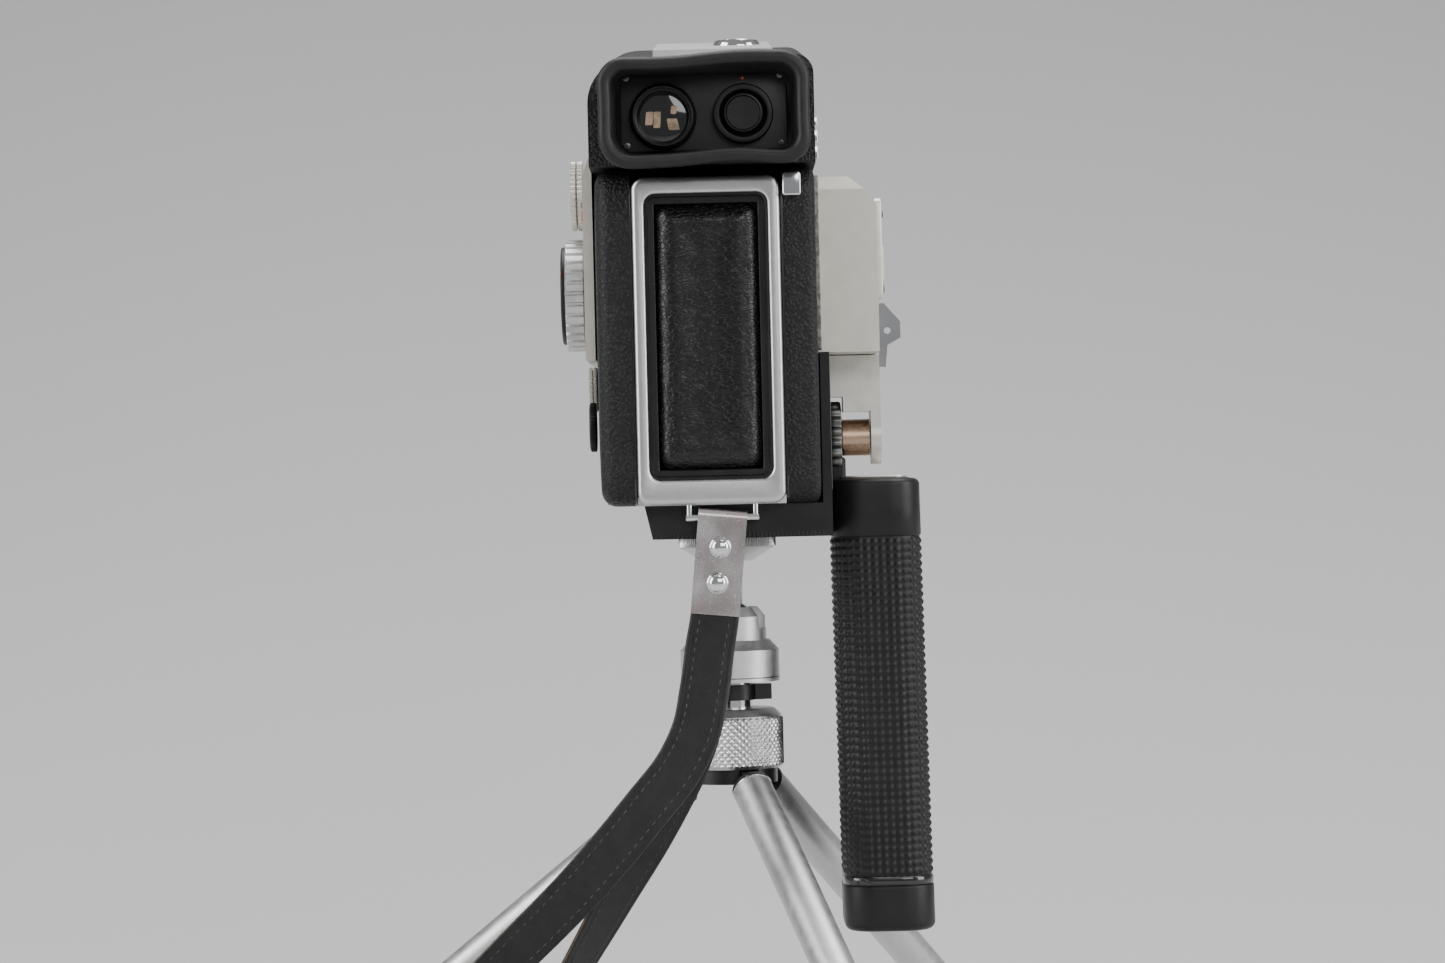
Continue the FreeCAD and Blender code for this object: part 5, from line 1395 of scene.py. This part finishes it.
# ------------------------------------------------------------------ tripod
class FILMCAM_OT_tripod(bpy.types.Operator):
    """Make the knurled collar, the ribbed disc and clamp ring, and finish the legs"""
    bl_idname = "filmcam.tripod"
    bl_label = "Tripod"

    def execute(self, context):
        low, high = node_box("knurled_collar")
        radius = (high[0] - low[0]) / 2
        pitch, depth = sizes().knurl_pitch / MM, sizes().knurl_depth / MM
        starts = round(math.tau * radius / pitch)
        knurled_low, knurled_high = low[2] + 1.0, high[2] - 2.8
        rows = [(radius - 0.9, low[2], 0), (radius - 0.5, low[2] + 0.5, 0)]
        steps = 30
        for n in range(steps * 2 + 1):
            rows.append((radius, knurled_low + (knurled_high - knurled_low) * n / (steps * 2),
                         1))
        rows += [(radius - 0.55, high[2] - 2.3, 0), (radius - 0.5, high[2] - 2.0, 0),
                 (radius - 2.3, high[2] - 0.2, 0), (radius - 2.8, high[2], 0),
                 (6.1, high[2], 0), (6.1, high[2] - 3, 0)]
        count = starts * 6
        rings = []
        for r, height, cut in rows:
            ring = []
            for k in range(count):
                angle = math.tau * k / count
                shift = (height - knurled_low) / pitch * math.tau
                one = abs(math.sin((angle * starts + shift) / 2))
                two = abs(math.sin((angle * starts - shift) / 2))
                groove = (1 - min(one, two) ** 0.7) * cut
                rr = r - depth * groove
                ring.append(at(rr * math.cos(angle), rr * math.sin(angle), height))
            rings.append(ring)
        points, faces = bridged(rings, caps=(False, False))
        piece("collar_knurl", points, faces, "root", knurled_aluminium(),
              smooth=25, stands_for=["knurled_collar"])

        low, high = node_box("platform_disc")
        radius = (high[0] - low[0]) / 2
        tall = high[2] - low[2]
        centre = at(0, 0, low[2])
        turned("platform_rim_knurled", centre, Z, [
            (4.4, 0), (6.6, 0.0), (7.4, 0.3), (radius - 0.9, tall - 3.3),
            (radius, tall - 2.8), (radius, tall - 0.5), (radius - 0.4, tall), (4.4, tall)],
            "camera", knurled_aluminium(), steps=600,
            relief=toothed(100, 0.35, 4, 5), stands_for=["platform_disc"])
        for name, width in (("clamp_ring", 0.35), ("ball_housing", 0.5), ("tripod_crown", 0.5),
                            ("clamp_lever", 0.5), ("head_post", 0.3)):
            eased_edges(NODES[name], width, 3, 30)
        low, high = node_box("clamp_ring")
        radius = (high[0] - low[0]) / 2
        turned("clamp_ring_groove", at(0, 0, low[2]), Z, [
            (radius - 0.2, 0.9), (radius + 0.04, 0.95), (radius + 0.04, 1.25),
            (radius - 0.2, 1.3)], "clamp_ring", dark_steel(),
            caps=(False, False), steps=128)
        tube = 5.5
        ring_start, ring_end = 160.5, 163.1
        for number in (1, 2, 3):
            axis, pivot = LEG_AXES[number], LEG_PIVOTS[number]
            if axis.z > 0:
                axis = -axis
            for name, width in ((f"leg_{number}_outer_tube", 0.3), (f"leg_{number}_foot", 0.4),
                                (f"leg_{number}_knuckle", 0.3),
                                (f"leg_{number}_inner_tube", 0.2)):
                eased_edges(NODES[name], width, 2, 40)
            finished(f"leg_{number}_knuckle", black_enamel())
            finished(f"leg_{number}_foot", soft_rubber())
            turned(f"leg_{number}_sleeve", pivot, axis, [
                (4.3, 8.3), (4.9, 8.35), (tube - 0.05, 8.5), (tube + 0.06, 8.7), (tube + 0.06, 9.6),
                (tube - 0.1, 9.7)],
                f"leg_{number}", black_enamel(), steps=72,
                caps=(False, False))
            turned(f"leg_{number}_ferrule", pivot, axis, [
                (tube - 0.2, 9.55), (tube + 0.1, 9.6), (tube + 0.14, 9.75), (tube + 0.1, 9.95),
                (tube - 0.2, 10.0)],
                f"leg_{number}", polished_chrome(), steps=72,
                caps=(False, False))
            turned(f"leg_{number}_end_ring", pivot, axis, [
                (4.65, ring_start), (tube + 0.06, ring_start), (tube + 0.16, ring_start + 0.4),
                (tube + 0.16, ring_end - 0.5), (tube - 0.1, ring_end), (4.65, ring_end)],
                f"leg_{number}", satin_black(), steps=72,
                caps=(False, False))
        return {"FINISHED"}


# ------------------------------------------------------------------ lens and front
class FILMCAM_OT_lens(bpy.types.Operator):
    """Make the lens: ribbed focus ring, stepped barrel, coated front glass and inner baffles"""
    bl_idname = "filmcam.lens"
    bl_label = "Lens"

    def execute(self, context):
        low, high = node_box("focus_ring")
        radius = (high[0] - low[0]) / 2
        centre = at((low[0] + high[0]) / 2, low[1], (low[2] + high[2]) / 2)
        deep = high[1] - low[1]
        turned("focus_ring_ribbed", centre, Y, [
            (20.8, 0), (radius - 1.2, 0), (radius - 0.8, 0.4), (radius - 0.8, 4.2),
            (radius - 0.1, 4.6), (radius, 5.0), (radius, 14.6), (radius - 0.2, 15.0),
            (radius - 0.9, 15.2), (radius - 0.9, deep - 1.2), (radius - 1.3, deep - 0.2),
            (radius - 1.8, deep), (21.4, deep), (20.3, deep - 0.8), (20.3, deep - 4.6),
            (20.75, deep - 4.9), (20.75, 0.4)],
            "focus_ring", black_enamel(), steps=576,
            relief=lambda angle, row: (-0.7 * smoothed(-0.3, 0.3, math.cos(angle * 36))
                                       if 5 <= row <= 6 else 0.0),
            stands_for=["focus_ring"], caps=(False, False), smooth=50)
        for k in range(7):
            angle = math.radians(-36 + 12 * k)
            out = Z * math.cos(angle) + X * math.sin(angle)
            side = out.cross(Y)
            spot = centre + out * (radius - 0.85) * MM + Y * 2.2 * MM
            corners = []
            for lift in (0.0, 0.12):
                for s, t in ((-1, -1), (1, -1), (1, 1), (-1, 1)):
                    corners.append(spot + side * s * 0.22 * MM + Y * t * 1.1 * MM
                                   + out * lift * MM)
            points, faces = bridged([corners[:4], corners[4:]])
            piece(f"focus_mark_{k + 1}", points, faces, "focus_ring",
                  index_paint() if k == 3 else warm_silver(), smooth=0)
        eased_edges(NODES["lens_barrel"], 0.5, 3, 30)
        low, high = node_box("front_lens")
        radius = (high[0] - low[0]) / 2
        glass = at((low[0] + high[0]) / 2, low[1], (low[2] + high[2]) / 2)
        deep = high[1] - low[1]
        turned("front_glass", glass, Y, [
            (radius, 0), (radius, deep * 0.35), (radius * 0.9, deep * 0.55),
            (radius * 0.75, deep * 0.75), (radius * 0.5, deep * 0.92), (radius * 0.25, deep),
            (0.01, deep)], "camera", coated_glass(), steps=96,
            stands_for=["front_lens"])
        for number, (r, back) in enumerate(((16.2, -1.5), (12.5, -5.5), (8.5, -9.0))):
            turned(f"lens_baffle_{number + 1}", glass, Y, [
                (r + 3.6, back - 2.4), (r + 3.6, back), (r, back - 0.2), (r - 0.6, back - 1.2),
                (r - 0.4, back - 2.4)], "camera", satin_black(), steps=96,
                caps=(False, False))
        # the inner glass's amber colour is a painted reflection
        turned("inner_glass", glass, Y, [
            (8.3, -12.5), (8.3, -11.6), (6.0, -10.6), (3.0, -10.05), (0.01, -9.9)],
            "camera", amber_painted_reflection(), steps=72)
        return {"FINISHED"}


# ------------------------------------------------------------------ panel and run
GROUPS = (FilmCameraSizes, FilmCameraColours)
OPERATORS = (FILMCAM_OT_stage, FILMCAM_OT_frame_finish, FILMCAM_OT_covers,
             FILMCAM_OT_rear_door, FILMCAM_OT_finder, FILMCAM_OT_top,
             FILMCAM_OT_left_controls, FILMCAM_OT_right_side, FILMCAM_OT_grip,
             FILMCAM_OT_cradle, FILMCAM_OT_strap, FILMCAM_OT_tripod, FILMCAM_OT_lens)


class FILMCAM_PT_pieces(bpy.types.Panel):
    """Buttons that make each group of pieces"""
    bl_idname = "FILMCAM_PT_pieces"
    bl_label = "Film Camera"
    bl_space_type = "VIEW_3D"
    bl_region_type = "UI"
    bl_category = "Camera"

    def draw(self, context):
        for group in (context.scene.film_camera_sizes, context.scene.film_camera_colours):
            for key in group.__annotations__:
                self.layout.prop(group, key)
        for operator in OPERATORS:
            self.layout.operator(operator.bl_idname)


def register():
    for item in GROUPS + OPERATORS + (FILMCAM_PT_pieces,):
        bpy.utils.register_class(item)
    bpy.types.Scene.film_camera_sizes = bpy.props.PointerProperty(type=FilmCameraSizes)
    bpy.types.Scene.film_camera_colours = bpy.props.PointerProperty(type=FilmCameraColours)


def unregister():
    del bpy.types.Scene.film_camera_colours
    del bpy.types.Scene.film_camera_sizes
    for item in reversed(GROUPS + OPERATORS + (FILMCAM_PT_pieces,)):
        bpy.utils.unregister_class(item)


def main():
    register()
    for operator in OPERATORS:
        getattr(bpy.ops.filmcam, operator.bl_idname.split(".")[1])()


if __name__ == "__main__":
    main()
